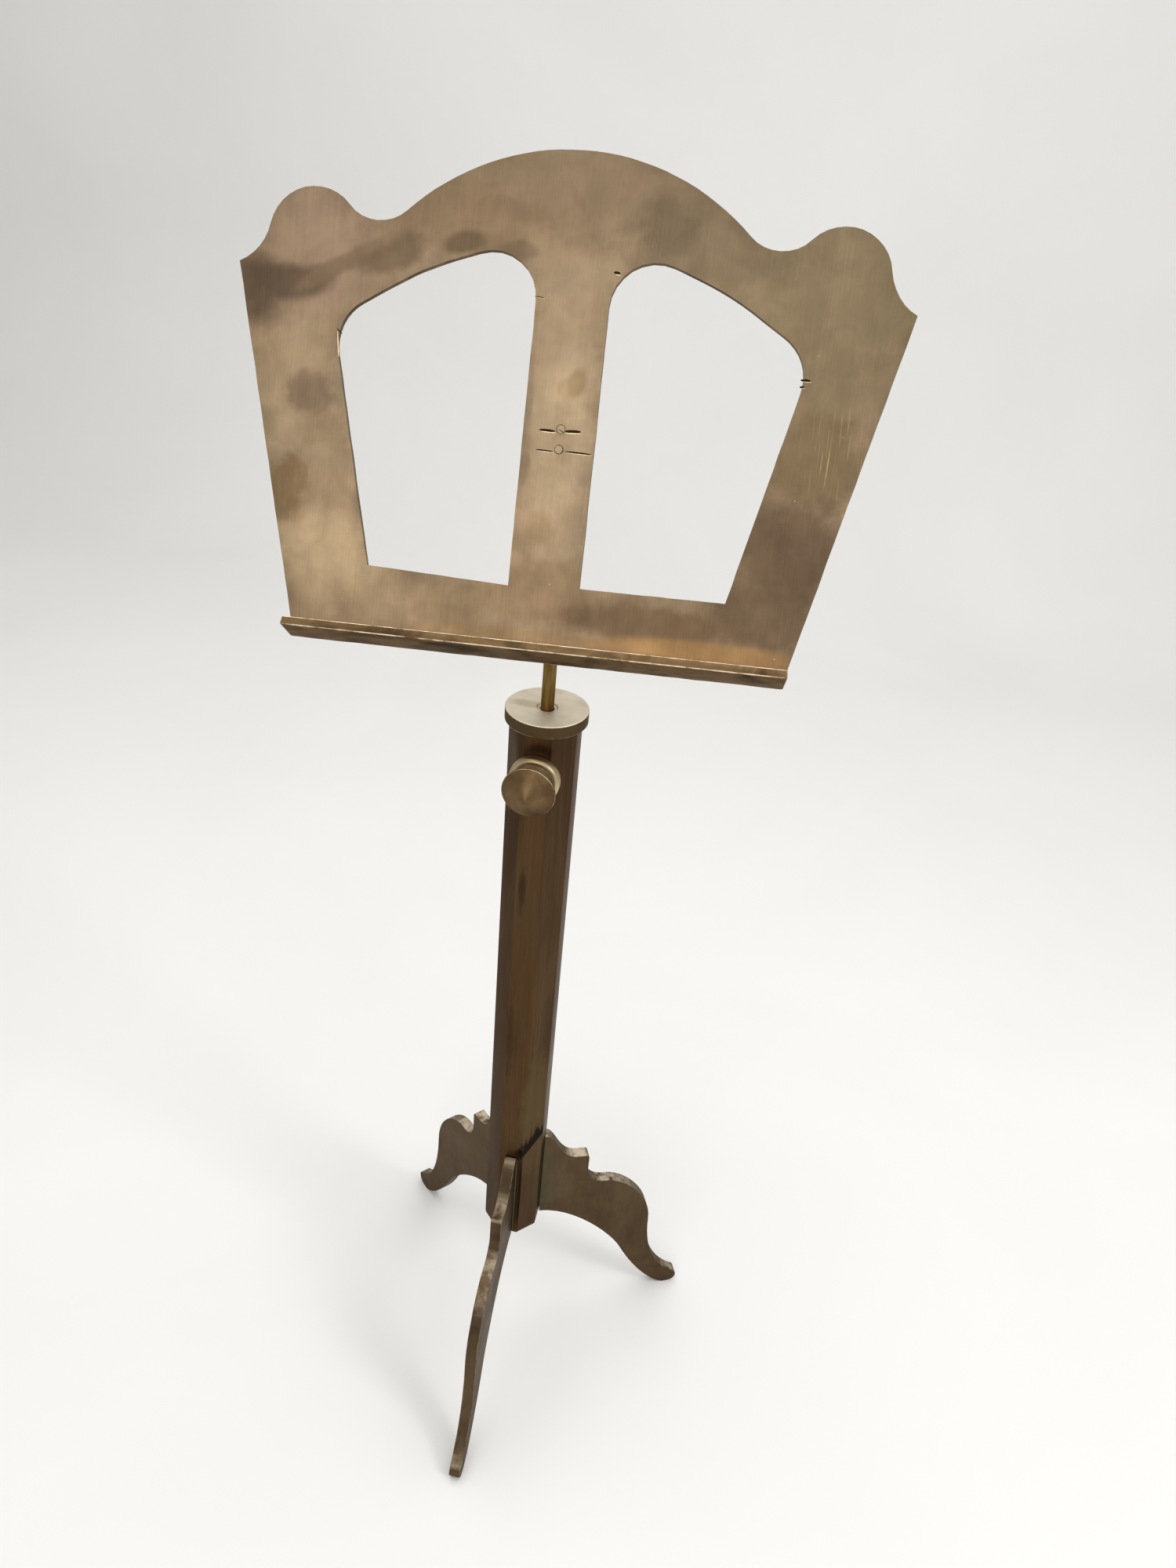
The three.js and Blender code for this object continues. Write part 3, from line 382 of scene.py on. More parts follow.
    def worn(self, colour, share=1.0):
        """Another colour on the marked edges and faces that look up: rubbed wear, and a painted
        highlight where the light falls on them.
        """
        self.marked("worn", colour, share)

    def done(self):
        self.link(self.colour, self.shader.inputs["Base Color"])
        self.link(self.rough, self.shader.inputs["Roughness"])
        if self.bump:
            self.link(self.bump, self.shader.inputs["Normal"])
        return self.material


print("finish helpers ready")

# %% [markdown]
# ## The floor's pale paper
# A studio's paper sweep is matt and very slightly uneven. A flat white would look like
# no material at all, so a faint cloud drifts through its tone.

# %% Floor material


def paper():
    finish = Finish("pale_paper", metallic=0.0)
    finish.wander([(0.3, (0.80, 0.80, 0.79)), (0.7, (0.84, 0.84, 0.83))], 1.2)
    finish.gloss(0.85, 0.95, 6.0)
    finish.add_bump(finish.cloud(420.0, 2.0), 0.05, 0.0002)
    return finish.done()


floor.data.materials.append(paper())
print("floor material:", floor.data.materials[0].name)

# %% [markdown]
# ## The desk's brass
# The plate was brushed upright along its whole height, and lacquer or handling has left it
# blotched: tan in the middle, pinkish at the top left, greenish grey at the right. A torch
# burnt the left corner, the right strut went brown, and the foot carries a painted golden
# reflection where it faces the ledge. The patches are placed in plate measure, so they stay put
# when the desk tilts.

# %% Desk brass


def plate_measure(finish):
    """Coordinates that run right, back and up the plate from the middle of its foot."""
    return finish.moved(PLATE_FOOT, PLATE_TURN.to_euler(), (1, 1, 1), "TEXTURE")


DESK_LIGHT = 0.72  # the desk faces the lights, so its own colour is darker than it looks


THROUGH_PLATE = 60  # a patch reaches this far back, so that both sides carry it


def desk_brass():
    finish = Finish("desk_brass")
    measure = plate_measure(finish)

    def seen(*colour):
        return tone(*colour, DESK_LIGHT)

    def patch(colour, right, up, wide, tall, strength, ragged=0.35, turn=0.0):
        finish.stain(
            seen(*colour), Vector((right, 0, up)) * MM, Vector((wide, THROUGH_PLATE, tall)) * MM,
            strength, ragged, (0, math.radians(turn), 0), measure)

    finish.wander(
        [(0.30, seen(148, 126, 99)), (0.46, seen(163, 140, 112)),
         (0.58, seen(171, 149, 121)), (0.74, seen(158, 134, 111))], 8.0, source=measure)
    # broad fields: pinkish left ear, greenish right ear, pale bar, duller crest
    patch((163, 137, 115), -200, 300, 95, 75, 0.6)
    patch((143, 126, 98), 205, 275, 100, 105, 0.85)
    patch((145, 124, 99), 0, 350, 190, 40, 0.8)
    patch((142, 119, 93), -85, 318, 85, 36, 0.75, 0.5)
    patch((134, 117, 92), 96, 320, 92, 56, 0.8, 0.5)
    patch((181, 159, 128), 2, 178, 34, 80, 0.85)
    patch((183, 159, 126), -172, 62, 62, 46, 0.85)
    patch((166, 142, 110), -100, 38, 90, 18, 0.6)
    patch((148, 125, 96), -70, 30, 34, 12, 0.6, 0.5)
    # the torch burn at the left corner and the smoke that left it
    patch((104, 86, 71), -244, 259, 36, 36, 0.97, 0.2)
    patch((107, 89, 73), -217, 265, 46, 17, 0.95, 0.25, -8)
    patch((134, 112, 90), -185, 276, 40, 9, 0.85, 0.3, -30)
    patch((142, 119, 95), -150, 294, 54, 10, 0.75, 0.5, -28)
    # dark clouds round the left window's head
    patch((112, 93, 72), -82, 304, 22, 11, 0.8, 0.35, -15)
    patch((116, 97, 76), -136, 291, 36, 15, 0.7, 0.5, -25)
    patch((120, 102, 80), -40, 302, 18, 10, 0.6, 0.4)
    patch((122, 104, 84), 68, 325, 26, 26, 0.6, 0.6)
    # left strut
    patch((132, 112, 90), -192, 186, 26, 22, 0.8, 0.7)
    patch((133, 107, 76), -204, 116, 22, 28, 0.75, 0.7)
    patch((150, 128, 100), -178, 160, 26, 20, 0.6, 0.6)
    # bar and the middle of the foot
    patch((150, 126, 92), 12, 210, 10, 14, 0.75, 0.3, 20)
    patch((158, 136, 104), 4, 206, 9, 10, 0.5, 0.4)
    patch((142, 125, 106), -24, 196, 5, 40, 0.7, 0.3)
    patch((140, 120, 98), -22, 146, 7, 16, 0.7, 0.4)
    patch((152, 127, 96), -6, 100, 14, 16, 0.6, 0.6)
    patch((146, 121, 93), 0, 52, 60, 34, 0.75, 0.5)
    # right strut: olive above, purple brown below
    patch((130, 111, 84), 196, 168, 50, 46, 0.85, 0.5)
    patch((108, 89, 71), 182, 104, 70, 50, 0.93, 0.35)
    patch((114, 94, 74), 172, 56, 62, 46, 0.9, 0.4)
    patch((122, 99, 75), 88, 38, 90, 22, 0.85, 0.4)
    # painted reflection: warm light thrown up by the ledge
    patch((176, 138, 90), 130, 20, 110, 12, 0.75, 0.15)
    patch((158, 128, 88), -20, 18, 120, 9, 0.5, 0.2)
    # mottling, brushing, scratches, dulled outline, small bright pits
    finish.marked("rim", seen(118, 102, 76), 0.55, (0.25, 0.75), 30.0)
    mottle = finish.between(finish.cloud(42.0, 5.0, 0.6, 0.4, source=measure), 0.3, 0.7, 0.90, 1.08)
    finish.multiply(mottle)
    finish.brushing((850, 60, 14), 1.0, 0.22, 0.055, measure)
    scratched = finish.between(finish.cloud(1.0, 2.0, 0.5, 0.0, (800, 60, 22), measure), 0.60, 0.68)
    near = finish.nearness(
        Vector((214, 0, 168)) * MM, Vector((34, THROUGH_PLATE, 50)) * MM,
        (0, math.radians(-12), 0), measure, 0.7)
    finish.colour = finish.blend(
        finish.math("MULTIPLY", scratched, near), finish.colour, seen(196, 170, 122))
    pits = finish.between(finish.cloud(210.0, 1.0, 0.4, source=measure), 0.80, 0.84)
    finish.colour = finish.blend(pits, finish.colour, seen(196, 174, 138))
    # rounded edges and faces that look up paler: rubbed wear and a painted highlight; faces that look
    # down in painted shade
    finish.worn(seen(205, 180, 140), 0.6)
    finish.marked("shaded", seen(92, 76, 56), 0.8)
    finish.gloss(0.36, 0.50, 16.0)
    finish.add_bump(finish.cloud(14.0, 3.0, 0.5, 0.0, source=measure), 0.25, 0.0012)
    return finish.done()


DESK_BRASS = desk_brass()
print("desk brass nodes:", len(DESK_BRASS.node_tree.nodes))

# %% [markdown]
# ## Column, legs and the small turned parts
# The column is much darker than the desk, a deep brown with streaks that run down it and a
# painted reflection tint on each of its eight flats. The legs are a little lighter, with pale
# filed edges, partly rubbed and partly a painted highlight. The knob and collar were turned on
# a lathe, so their lines run round their own axis.

# %% Column brass
DARK_PATCH_HEIGHT, DARK_PATCH_SLANT = 338 * MM, math.radians(-48)


def column_brass():
    finish = Finish("column_brass")
    finish.wander(
        [(0.30, tone(72, 52, 34)), (0.48, tone(80, 60, 39)),
         (0.60, tone(86, 66, 43)), (0.75, tone(78, 61, 42))], 1.0, (26, 26, 5))
    # each flat's painted reflection tint, multiplied into the colour
    flat = finish.tree.nodes.new("ShaderNodeAttribute")
    flat.attribute_name = "flat_reflection_tint"
    finish.colour = finish.blend(1.0, finish.colour, flat.outputs["Color"], "MULTIPLY")
    front = COLUMN_AXIS.y - COLUMN_HALF

    def patch(colour, right, height, wide, tall, strength, ragged=0.35, depth=14, back=0):
        finish.stain(
            tone(*colour), (COLUMN_AXIS.x + right * MM, front + back * MM, height * MM),
            Vector((wide, depth, tall)) * MM, strength, ragged)

    patch((96, 80, 54), 24, 380, 22, 130, 0.6, 0.5, 40, 12)
    patch((88, 62, 44), 4, 768, 12, 44, 0.45, 0.5, 6)
    patch((100, 88, 74), -29, 835, 14, 60, 0.8, 0.4, 26, 16)
    patch((88, 60, 34), 0, 876, 14, 8, 0.6, 0.3, 6)
    # painted shadow on the column just above the clamp's collar
    patch((66, 49, 33), 4, 866, 17, 9, 0.6, 0.3, 6)
    patch((56, 44, 32), -6, 708, 5, 34, 0.75, 0.6, 6)
    patch((60, 46, 34), -9, 500, 4, 90, 0.5, 0.7, 6)
    # grey green solder stain beside the right leg, dark seam at the front leg's right
    patch((72, 72, 54), 33, 256, 12, 100, 0.7, 0.2, 26, 38)
    patch((24, 17, 12), 13, 262, 1.6, 84, 0.9, 0.1, 8)
    finish.colour = finish.blend(dark_corner_patch(finish), finish.colour, tone(30, 24, 20))
    finish.brushing((420, 420, 9), 1.0, 0.25, 0.10)
    # the column's rounded edges are painted darker than its flats
    finish.worn(tone(58, 44, 30), 0.7)
    finish.gloss(0.30, 0.44, 14.0, (1, 1, 0.3))
    finish.add_bump(finish.cloud(10.0, 3.0, 0.5, 0.0, (3, 3, 1)), 0.2, 0.0015)
    return finish.done()


def dark_corner_patch(finish):
    """A dark patch above the right leg's root: crisp along a slanting line below, ragged above it."""
    corner = COLUMN_AXIS + Vector((22, -22, 0)) * MM
    slant = finish.moved((*corner.xy, DARK_PATCH_HEIGHT), (0, DARK_PATCH_SLANT, math.radians(45)))
    split = finish.tree.nodes.new("ShaderNodeSeparateXYZ")
    finish.link(slant, split.inputs[0])
    above = finish.between(split.outputs[2], 0.0, 0.0012)
    torn = finish.math("ADD", split.outputs[2], finish.math(
        "MULTIPLY", finish.cloud(1.0, 3.0, 0.7, 0.0, (260, 260, 60)), -0.030))
    fades = finish.between(torn, -0.004, 0.004, 1.0, 0.0)
    inside = finish.nearness((*corner.xy, DARK_PATCH_HEIGHT + 7 * MM), Vector((34, 34, 40)) * MM)
    return finish.math("MULTIPLY", finish.math("MULTIPLY", above, fades), inside)


COLUMN_BRASS = column_brass()
print("column brass nodes:", len(COLUMN_BRASS.node_tree.nodes))

# %% Leg brass


def leg_brass():
    finish = Finish("leg_brass")
    finish.wander(
        [(0.30, tone(82, 66, 49)), (0.50, tone(92, 76, 57)), (0.70, tone(98, 82, 63))], 14.0)
    roots = (*COLUMN_AXIS.xy, 240 * MM)
    finish.stain(tone(76, 76, 56), roots, Vector((56, 56, 130)) * MM, 0.75, 0.12)
    finish.brushing((160, 160, 26), 1.0, 0.25, 0.08)
    # pale edges and faces that look up: rubbed wear and a painted top light
    finish.marked("worn", tone(205, 190, 166), 0.95, (0.36, 0.58), 70.0)
    finish.gloss(0.34, 0.48, 18.0)
    finish.add_bump(finish.cloud(60.0, 3.0, 0.55), 0.25, 0.0004)
    return finish.done()


LEG_BRASS = leg_brass()
print("leg brass nodes:", len(LEG_BRASS.node_tree.nodes))

# %% Turned, drawn and filed brass


LATHE_PITCH = 900.0


def turned_lines(finish, centre, axis, strength, share):
    """Lathe lines: noise that changes with the distance from an axis and along it only."""
    turn = Vector((0, 0, 1)).rotation_difference(axis).to_euler()
    split = finish.tree.nodes.new("ShaderNodeSeparateXYZ")
    finish.link(finish.moved(centre, turn), split.inputs[0])
    squares = [finish.math("POWER", split.outputs[side], 2.0) for side in (0, 1)]
    across = finish.math("SQRT", finish.math("ADD", *squares))
    join = finish.tree.nodes.new("ShaderNodeCombineXYZ")
    finish.link(across, join.inputs[0])
    finish.link(split.outputs[2], join.inputs[2])
    finish.brushing((1, 1, 1), LATHE_PITCH, strength, share, join.outputs[0])


def knob_brass(name, centre, axis):
    finish = Finish(name)
    finish.wander(
        [(0.32, tone(92, 71, 47)), (0.50, tone(112, 90, 63)), (0.66, tone(126, 102, 73))], 42.0)
    turned_lines(finish, centre, axis, 0.3, 0.05)
    # painted shade on the lower right of the knob, away from the light
    painted_shade_centre = centre + Vector((13, 0, -16)) * MM
    finish.stain(tone(50, 37, 24), painted_shade_centre, Vector((32, 80, 28)) * MM, 0.95, 0.2)
    # pale rounded edges: rubbed wear and a painted highlight
    finish.worn(tone(222, 206, 172), 0.9)
    finish.gloss(0.44, 0.56, 60.0)
    return finish.done()


def boss_brass():
    finish = Finish("boss_brass")
    # pale tones: partly the collar's polished metal, partly a painted highlight
    finish.wander(
        [(0.3, tone(178, 156, 120)), (0.5, tone(200, 180, 146)), (0.7, tone(188, 166, 130))], 50.0)
    turned_lines(finish, CLAMP_AXIS, Vector((0, -1, 0)), 0.3, 0.05)
    # pale rounded edges: rubbed wear and a painted highlight
    finish.worn(tone(236, 222, 194), 0.9)
    finish.gloss(0.36, 0.48, 60.0)
    return finish.done()


def cap_brass():
    finish = Finish("cap_brass")
    # cream tones: a painted reflection of the overhead light on the cap's top
    finish.wander(
        [(0.3, tone(202, 191, 171)), (0.5, tone(214, 204, 184)), (0.7, tone(205, 194, 174))], 30.0)
    # painted shadow of the rod, to its left on the cap's top
    finish.stain(tone(168, 154, 132), (COLUMN_AXIS.x - 18 * MM, COLUMN_AXIS.y, CAP_TOP),
                 Vector((22, 9, 9)) * MM, 0.55, 0.3)
    turned_lines(finish, COLUMN_AXIS, Vector((0, 0, 1)), 0.2, 0.03)
    # painted shade on the cap's sides and underside
    finish.marked("shaded", tone(88, 72, 50), 1.0, (0.0, 0.2))
    # pale rounded rim: rubbed wear and a painted highlight
    finish.worn(tone(235, 222, 196), 0.9)
    finish.gloss(0.42, 0.54, 40.0)
    return finish.done()


def drawn_brass(name, tones, drawn_wear_and_sheen_share=0.5, rough=(0.25, 0.36), stretch=(260, 260, 12)):
    finish = Finish(name)
    finish.wander(tones, 30.0)
    finish.brushing(stretch, 1.0, 0.25, 0.1)
    # pale rounded edges: rubbed wear and a painted highlight
    finish.worn(tone(203, 182, 142), drawn_wear_and_sheen_share)
    finish.gloss(*rough, 30.0)
    return finish.done()


def ledge_brass():
    finish = Finish("ledge_brass")
    measure = plate_measure(finish)
    finish.wander(
        [(0.34, tone(58, 45, 31)), (0.48, tone(94, 74, 50)),
         (0.60, tone(116, 93, 64)), (0.74, tone(80, 62, 43))], 46.0, (0.5, 1, 1), measure)
    finish.brushing((12, 300, 300), 1.0, 0.3, 0.12, measure)
    # painted top light on faces that look up; pale outer corners, rubbed wear and painted highlight
    finish.marked("top", tone(172, 143, 106), 0.9, (0.1, 0.4))
    finish.worn(tone(236, 220, 192), 1.0)
    finish.gloss(0.42, 0.58, 40.0)
    finish.add_bump(finish.cloud(180.0, 4.0, 0.6), 0.5, 0.0006)
    return finish.done()


def dull_brass(name, colour, rough):
    """Solder, burrs and the bottoms of scribed lines: one tone, broken up by grain."""
    finish = Finish(name, metallic=0.9)
    finish.wander([(0.3, [c * 0.7 for c in colour]), (0.7, [c * 1.25 for c in colour])], 160.0)
    finish.gloss(rough - 0.08, rough + 0.08, 200.0)
    finish.add_bump(finish.cloud(900.0, 3.0), 0.3, 0.0002)
    return finish.done()


def fibre():
    finish = Finish("red_fibre", metallic=0.0)
    finish.wander([(0.3, (0.07, 0.018, 0.010)), (0.7, (0.12, 0.032, 0.018))], 300.0)
    finish.gloss(0.6, 0.8, 400.0)
    finish.add_bump(finish.cloud(1500.0, 3.0), 0.3, 0.0002)
    return finish.done()


def nylon():
    finish = Finish("dark_nylon", metallic=0.0)
    finish.wander([(0.3, (0.016, 0.016, 0.015)), (0.7, (0.026, 0.026, 0.024))], 120.0)
    finish.gloss(0.38, 0.55, 200.0)
    finish.add_bump(finish.cloud(700.0, 3.0), 0.2, 0.0002)
    return finish.done()


HARDWARE_TONES = [(0.3, tone(130, 106, 66)), (0.5, tone(152, 126, 82)), (0.7, tone(164, 138, 94))]
ROD_TONES = [(0.3, tone(104, 82, 44)), (0.5, tone(122, 98, 54)), (0.7, tone(134, 110, 64))]
CAP_BRASS = cap_brass()
LEDGE_BRASS = ledge_brass()
CLAMP_BRASS = knob_brass("clamp_brass", CLAMP_AXIS, Vector((0, -1, 0)))
BOSS_BRASS = boss_brass()
TILT_BRASS = knob_brass("tilt_knob_brass", PIVOT, TILT_AXIS)
ROD_BRASS = drawn_brass("rod_brass", ROD_TONES, 0.4)
HARDWARE_BRASS = drawn_brass("hardware_brass", HARDWARE_TONES, 0.4)
SOLDER = dull_brass("grey_green_solder", tone(84, 84, 66), 0.5)
SCRIBED = dull_brass("scribed_dark", tone(40, 30, 22), 0.6)
# pale lips and burrs: fresh metal with a painted glint where they catch the light
BURR = dull_brass("bright_burr", tone(206, 186, 150), 0.35)
FIBRE = fibre()
NYLON = nylon()
print("materials:", len(bpy.data.materials))

# %% [markdown]
# ## Finishing copies of the bare parts
# The frame's meshes are loose triangles with knife-sharp corners. A copy is welded, its flat
# areas are joined into single faces, and its corners get a small bevel. Faces that belong to
# a bevel are remembered in a value of their own: polish survives there, and most materials
# also paint a highlight on them.

# %% Welding, bevels and edges for wear and painted highlight
SHARP = math.radians(26)
FLAT_SHADE = math.radians(13)


def bevel_sharp(bm, width, segments=3, angle=SHARP, only=lambda edge: True):
    """Rounds every sharp edge and marks the new faces, where most materials paint rubbed wear and a
    painted highlight.
    """
    worn = bm.faces.layers.float.new("worn")
    edges = [e for e in bm.edges if e.calc_face_angle(0) > angle and only(e)]
    made = bmesh.ops.bevel(
        bm, geom=edges, offset=width, offset_type="OFFSET", affect="EDGES", segments=segments,
        profile=0.5, material=-1, clamp_overlap=True, loop_slide=True)
    for face in made["faces"]:
        face[worn] = 1.0


def shade(bm, angle=FLAT_SHADE):
    """Smooth on gentle curves, crisp where faces meet at an angle."""
    for face in bm.faces:
        face.smooth = True
    for edge in bm.edges:
        edge.smooth = edge.calc_face_angle(0) < angle


print("corners sharper than", round(math.degrees(SHARP)), "degrees are rounded")

# %% [markdown]
# ## The desk plate
# The plate was sawn from 5 mm sheet and filed by hand, so its outline is never quite true.
# The rim is divided into short lengths and each point is pushed a few tenths of a millimetre
# in the plane of the plate. A level push would show as dents in the face, so none is made.

# %% Desk plate
RIM_STEP = 9 * MM      # longest stretch of outline between two file strokes
RIM_WOBBLE = 0.35 * MM
RIM_ROUND = 0.45 * MM
FACE_STEP = 7 * MM
DULL_RIM = 13 * MM     # how far in from the outline the brushing stays dull
HALVINGS = 7           # a 1 m edge cut in two this often is shorter than 9 mm
FILING_SEED = 5        # without one the wobble would follow the clock


def divide_long_edges(bm, longest, pick):
    for _ in range(HALVINGS):
        edges = [e for e in bm.edges if pick(e) and e.calc_length() > longest]
        if not edges:
            return
        bmesh.ops.subdivide_edges(bm, edges=edges, cuts=1, use_grid_fill=False)


def hand_filed(bm, normal, amount, scale, seed):
    """Moves each rim point a little, in the plane of the plate."""
    noise.seed_set(FILING_SEED)
    shift = Vector((seed, seed * 1.7, seed * 2.3))
    for vert in bm.verts:
        flat = vert.co - normal * vert.co.dot(normal)
        push = noise.noise_vector(flat * scale + shift)
        push -= normal * push.dot(normal)
        vert.co += push * amount


def grid_cuts(bm, spacing):
    """Cuts the plate along and across, so that its face can carry values of its own."""
    for normal in (PLATE_RIGHT, PLATE_UP):
        reach = [v.co.dot(normal) for v in bm.verts]
        steps = int((max(reach) - min(reach)) / spacing)
        for step in range(1, steps + 1):
            bmesh.ops.bisect_plane(
                bm, geom=[*bm.verts, *bm.edges, *bm.faces], dist=0.01 * MM,
                plane_co=normal * (min(reach) + step * spacing), plane_no=normal)


def mark_rim(bm, width):
    """A value that is 1 at the sawn outline and falls to 0 a little way in from it."""
    worn = bm.faces.layers.float["worn"]
    rim = bm.verts.layers.float.new("rim")
    outline = {v for f in bm.faces if f[worn] > 0 for v in f.verts}
    tree = kdtree.KDTree(len(outline))
    for index, vert in enumerate(outline):
        tree.insert(vert.co, index)
    tree.balance()
    for vert in bm.verts:
        vert[rim] = max(0.0, 1 - tree.find(vert.co)[2] / width)


def mark_faces(bm, name, amount):
    layer = bm.faces.layers.float.get(name) or bm.faces.layers.float.new(name)
    for face in bm.faces:
        face[layer] = max(face[layer], amount(face))


def climb(value, low, high):
    """0 below low, 1 above high, straight between them."""
    return min(1.0, max(0.0, (value - low) / (high - low)))


def desk_plate():
    bm = welded("desk_plate")
    divide_long_edges(bm, RIM_STEP, lambda e: e.calc_face_angle(0) > SHARP)
    hand_filed(bm, PLATE_OUT, RIM_WOBBLE, 60, 3.0)
    bevel_sharp(bm, RIM_ROUND, 2)
    grid_cuts(bm, FACE_STEP)
    mark_rim(bm, DULL_RIM)
    # faces that look up are marked for a painted top light, faces that look down for painted shade
    mark_faces(bm, "worn", lambda f: 0.9 * climb(f.normal.dot(PLATE_UP), 0.75, 0.95))
    mark_faces(bm, "shaded", lambda f: climb(-f.normal.dot(PLATE_UP), 0.2, 0.6))
    shade(bm)
    return keep(bm, "desk_plate_filed", "desk", DESK_BRASS, ["desk_plate"])


plate = desk_plate()
print("plate faces:", len(plate.data.polygons))

# %% [markdown]
# ## The ledge
# The ledge is a thick bar that was left rough in front. Its front face is divided finely and
# beaten by a little noise, while its upper corner stays straight. Its outer corners are pale,
# partly rubbed by the music and partly a painted highlight, and its top carries a painted top light.

# %% Ledge
EDGE_ROUND = 0.7 * MM
LEDGE_STEP = 4 * MM
BRIGHT_FROM = 12 * MM  # only corners this far out from the plate get the pale tone: rubbed wear and painted highlight
FINE_DENT, BROAD_DENT = 0.16 * MM, 0.14 * MM


def along_ledge(edge):
    return abs((edge.verts[1].co - edge.verts[0].co).normalized().dot(PLATE_RIGHT)) > 0.9


def ledge():
    bm = welded("ledge_bar")
    bevel_sharp(bm, EDGE_ROUND, 3)
    divide_long_edges(bm, LEDGE_STEP, along_ledge)
    # faces that look up are marked for a painted top light
    mark_faces(bm, "top", lambda f: climb(f.normal.dot(PLATE_UP), 0.6, 0.9))
    worn = bm.faces.layers.float["worn"]
    for face in bm.faces:
        if (face.calc_center_median() - PLATE_FOOT).dot(PLATE_OUT) < BRIGHT_FROM:
            face[worn] = 0
    for vert in bm.verts:
        dent = noise.noise(vert.co * 140) * FINE_DENT + noise.noise(vert.co * 45) * BROAD_DENT
        vert.co += PLATE_OUT * dent
    shade(bm, math.radians(24))
    return keep(bm, "ledge_bar_filed", "desk", LEDGE_BRASS, ["ledge_bar"])


print("ledge faces:", len(ledge().data.polygons))

# %% [markdown]
# ## Legs, column, cap and turned parts
# The legs were sawn and filed like the desk. Their edges are pale, partly rubbed and partly a
# painted highlight, and their faces that look up carry a painted top light. The column's foot
# is filed round. Each flat of the column is painted a slightly different tone: a painted
# reflection of the part of the room it looks at.

# %% Legs


def leg(side, wear_and_sheen_share):
    bm = welded(f"leg_{side}")
    bevel_sharp(bm, EDGE_ROUND, 3)
    worn = bm.faces.layers.float["worn"]
    for face in bm.faces:
        face[worn] *= wear_and_sheen_share
    # faces that look up are marked for a painted top light
    mark_faces(bm, "worn", lambda f: wear_and_sheen_share * climb(f.normal.z, 0.55, 0.95))
    shade(bm)
    return keep(bm, f"leg_{side}_filed", "stand", LEG_BRASS, [f"leg_{side}"])


WEAR_AND_SHEEN_SHARES = {"front": 0.32, "right": 1.0, "left": 1.0}  # the front leg gets the least rubbed wear and painted highlight
legs = [leg(side, wear_and_sheen_share) for side, wear_and_sheen_share in WEAR_AND_SHEEN_SHARES.items()]
print("leg faces:", [len(piece.data.polygons) for piece in legs])

# %% Column
FOOT_HEIGHT, FOOT_DRAW = 9 * MM, 2.0 * MM
FOOT_STEPS = (0.05, 0.15, 0.3, 0.5, 0.75, 1.0)
PLAIN = (1.0, 1.0, 1.0)
# painted reflection tint of each flat, in red, green and blue, by the way it faces in degrees right of
# the front
FLAT_REFLECTION_TINTS = {45: (1.0, 1.06, 1.22), -45: (0.80, 0.84, 0.96), 90: (1.3, 1.4, 1.8)}


def column():
    bm = welded("column_tube")
    middle = COLUMN_AXIS.xy
    for height in FOOT_STEPS:
        bmesh.ops.bisect_plane(
            bm, geom=[*bm.verts, *bm.edges, *bm.faces], dist=0.01 * MM,
            plane_co=(0, 0, COLUMN_FOOT + height * FOOT_HEIGHT), plane_no=(0, 0, 1))
    for vert in bm.verts:
        rise = (vert.co.z - COLUMN_FOOT) / FOOT_HEIGHT
        from_middle = vert.co.xy - middle
        if from_middle.length > COLUMN_HALF and rise < 1:
            inward = FOOT_DRAW * (1 - math.sqrt(1 - (1 - rise) ** 2))
            vert.co.xy = middle + from_middle * (1 - inward / from_middle.length)
    bevel_sharp(bm, 0.8 * MM, 3, math.radians(30))
    flat = bm.loops.layers.float_color.new("flat_reflection_tint")
    for face in bm.faces:
        heading = math.degrees(math.atan2(face.normal.x, -face.normal.y))
        tint = FLAT_REFLECTION_TINTS.get(round(heading / 45) * 45, PLAIN)
        for loop in face.loops:
            loop[flat] = (*tint, 1.0)
    shade(bm)
    return keep(bm, "column_polished", "stand", COLUMN_BRASS, ["column_tube"])


column_piece = column()
print("column faces:", len(column_piece.data.polygons))

# %% Cap, rod, bracket, clamp and tilt knob
BUSH_BORE, BUSH_GAP = 7.5 * MM, 0.34 * MM


def on_rim(edge):
    return (edge.verts[0].co.xy - COLUMN_AXIS.xy).length > 20 * MM


def cap():
    bm = welded("column_cap")
    bevel_sharp(bm, 0.4 * MM, 3, only=on_rim)
    # sides and underside are marked for painted shade
    mark_faces(bm, "shaded", lambda f: climb(-f.normal.z, -0.5, -0.2))
    shade(bm)
    return keep(bm, "cap_turned", "stand", CAP_BRASS, ["column_cap"])


def turned_copy(node_name, new_name, body, material, width):
    """A copy whose round faces stay smooth even where its steps are coarse."""
    bm = welded(node_name)
    bevel_sharp(bm, width, 3, math.radians(38))
    shade(bm, math.radians(32))
    return keep(bm, new_name, body, material, [node_name])


def bush():
    """The cap's bush was pressed in, so its copy is grown to touch the cap all round."""
    bm = welded("cap_bush")
    for vert in bm.verts:
        out = vert.co.xy - COLUMN_AXIS.xy
        if out.length > BUSH_BORE:
            vert.co.xy = COLUMN_AXIS.xy + out * (1 + BUSH_GAP / out.length)
    shade(bm, math.radians(32))
    return keep(bm, "cap_bush_pressed", "stand", CAP_BRASS, ["cap_bush"])


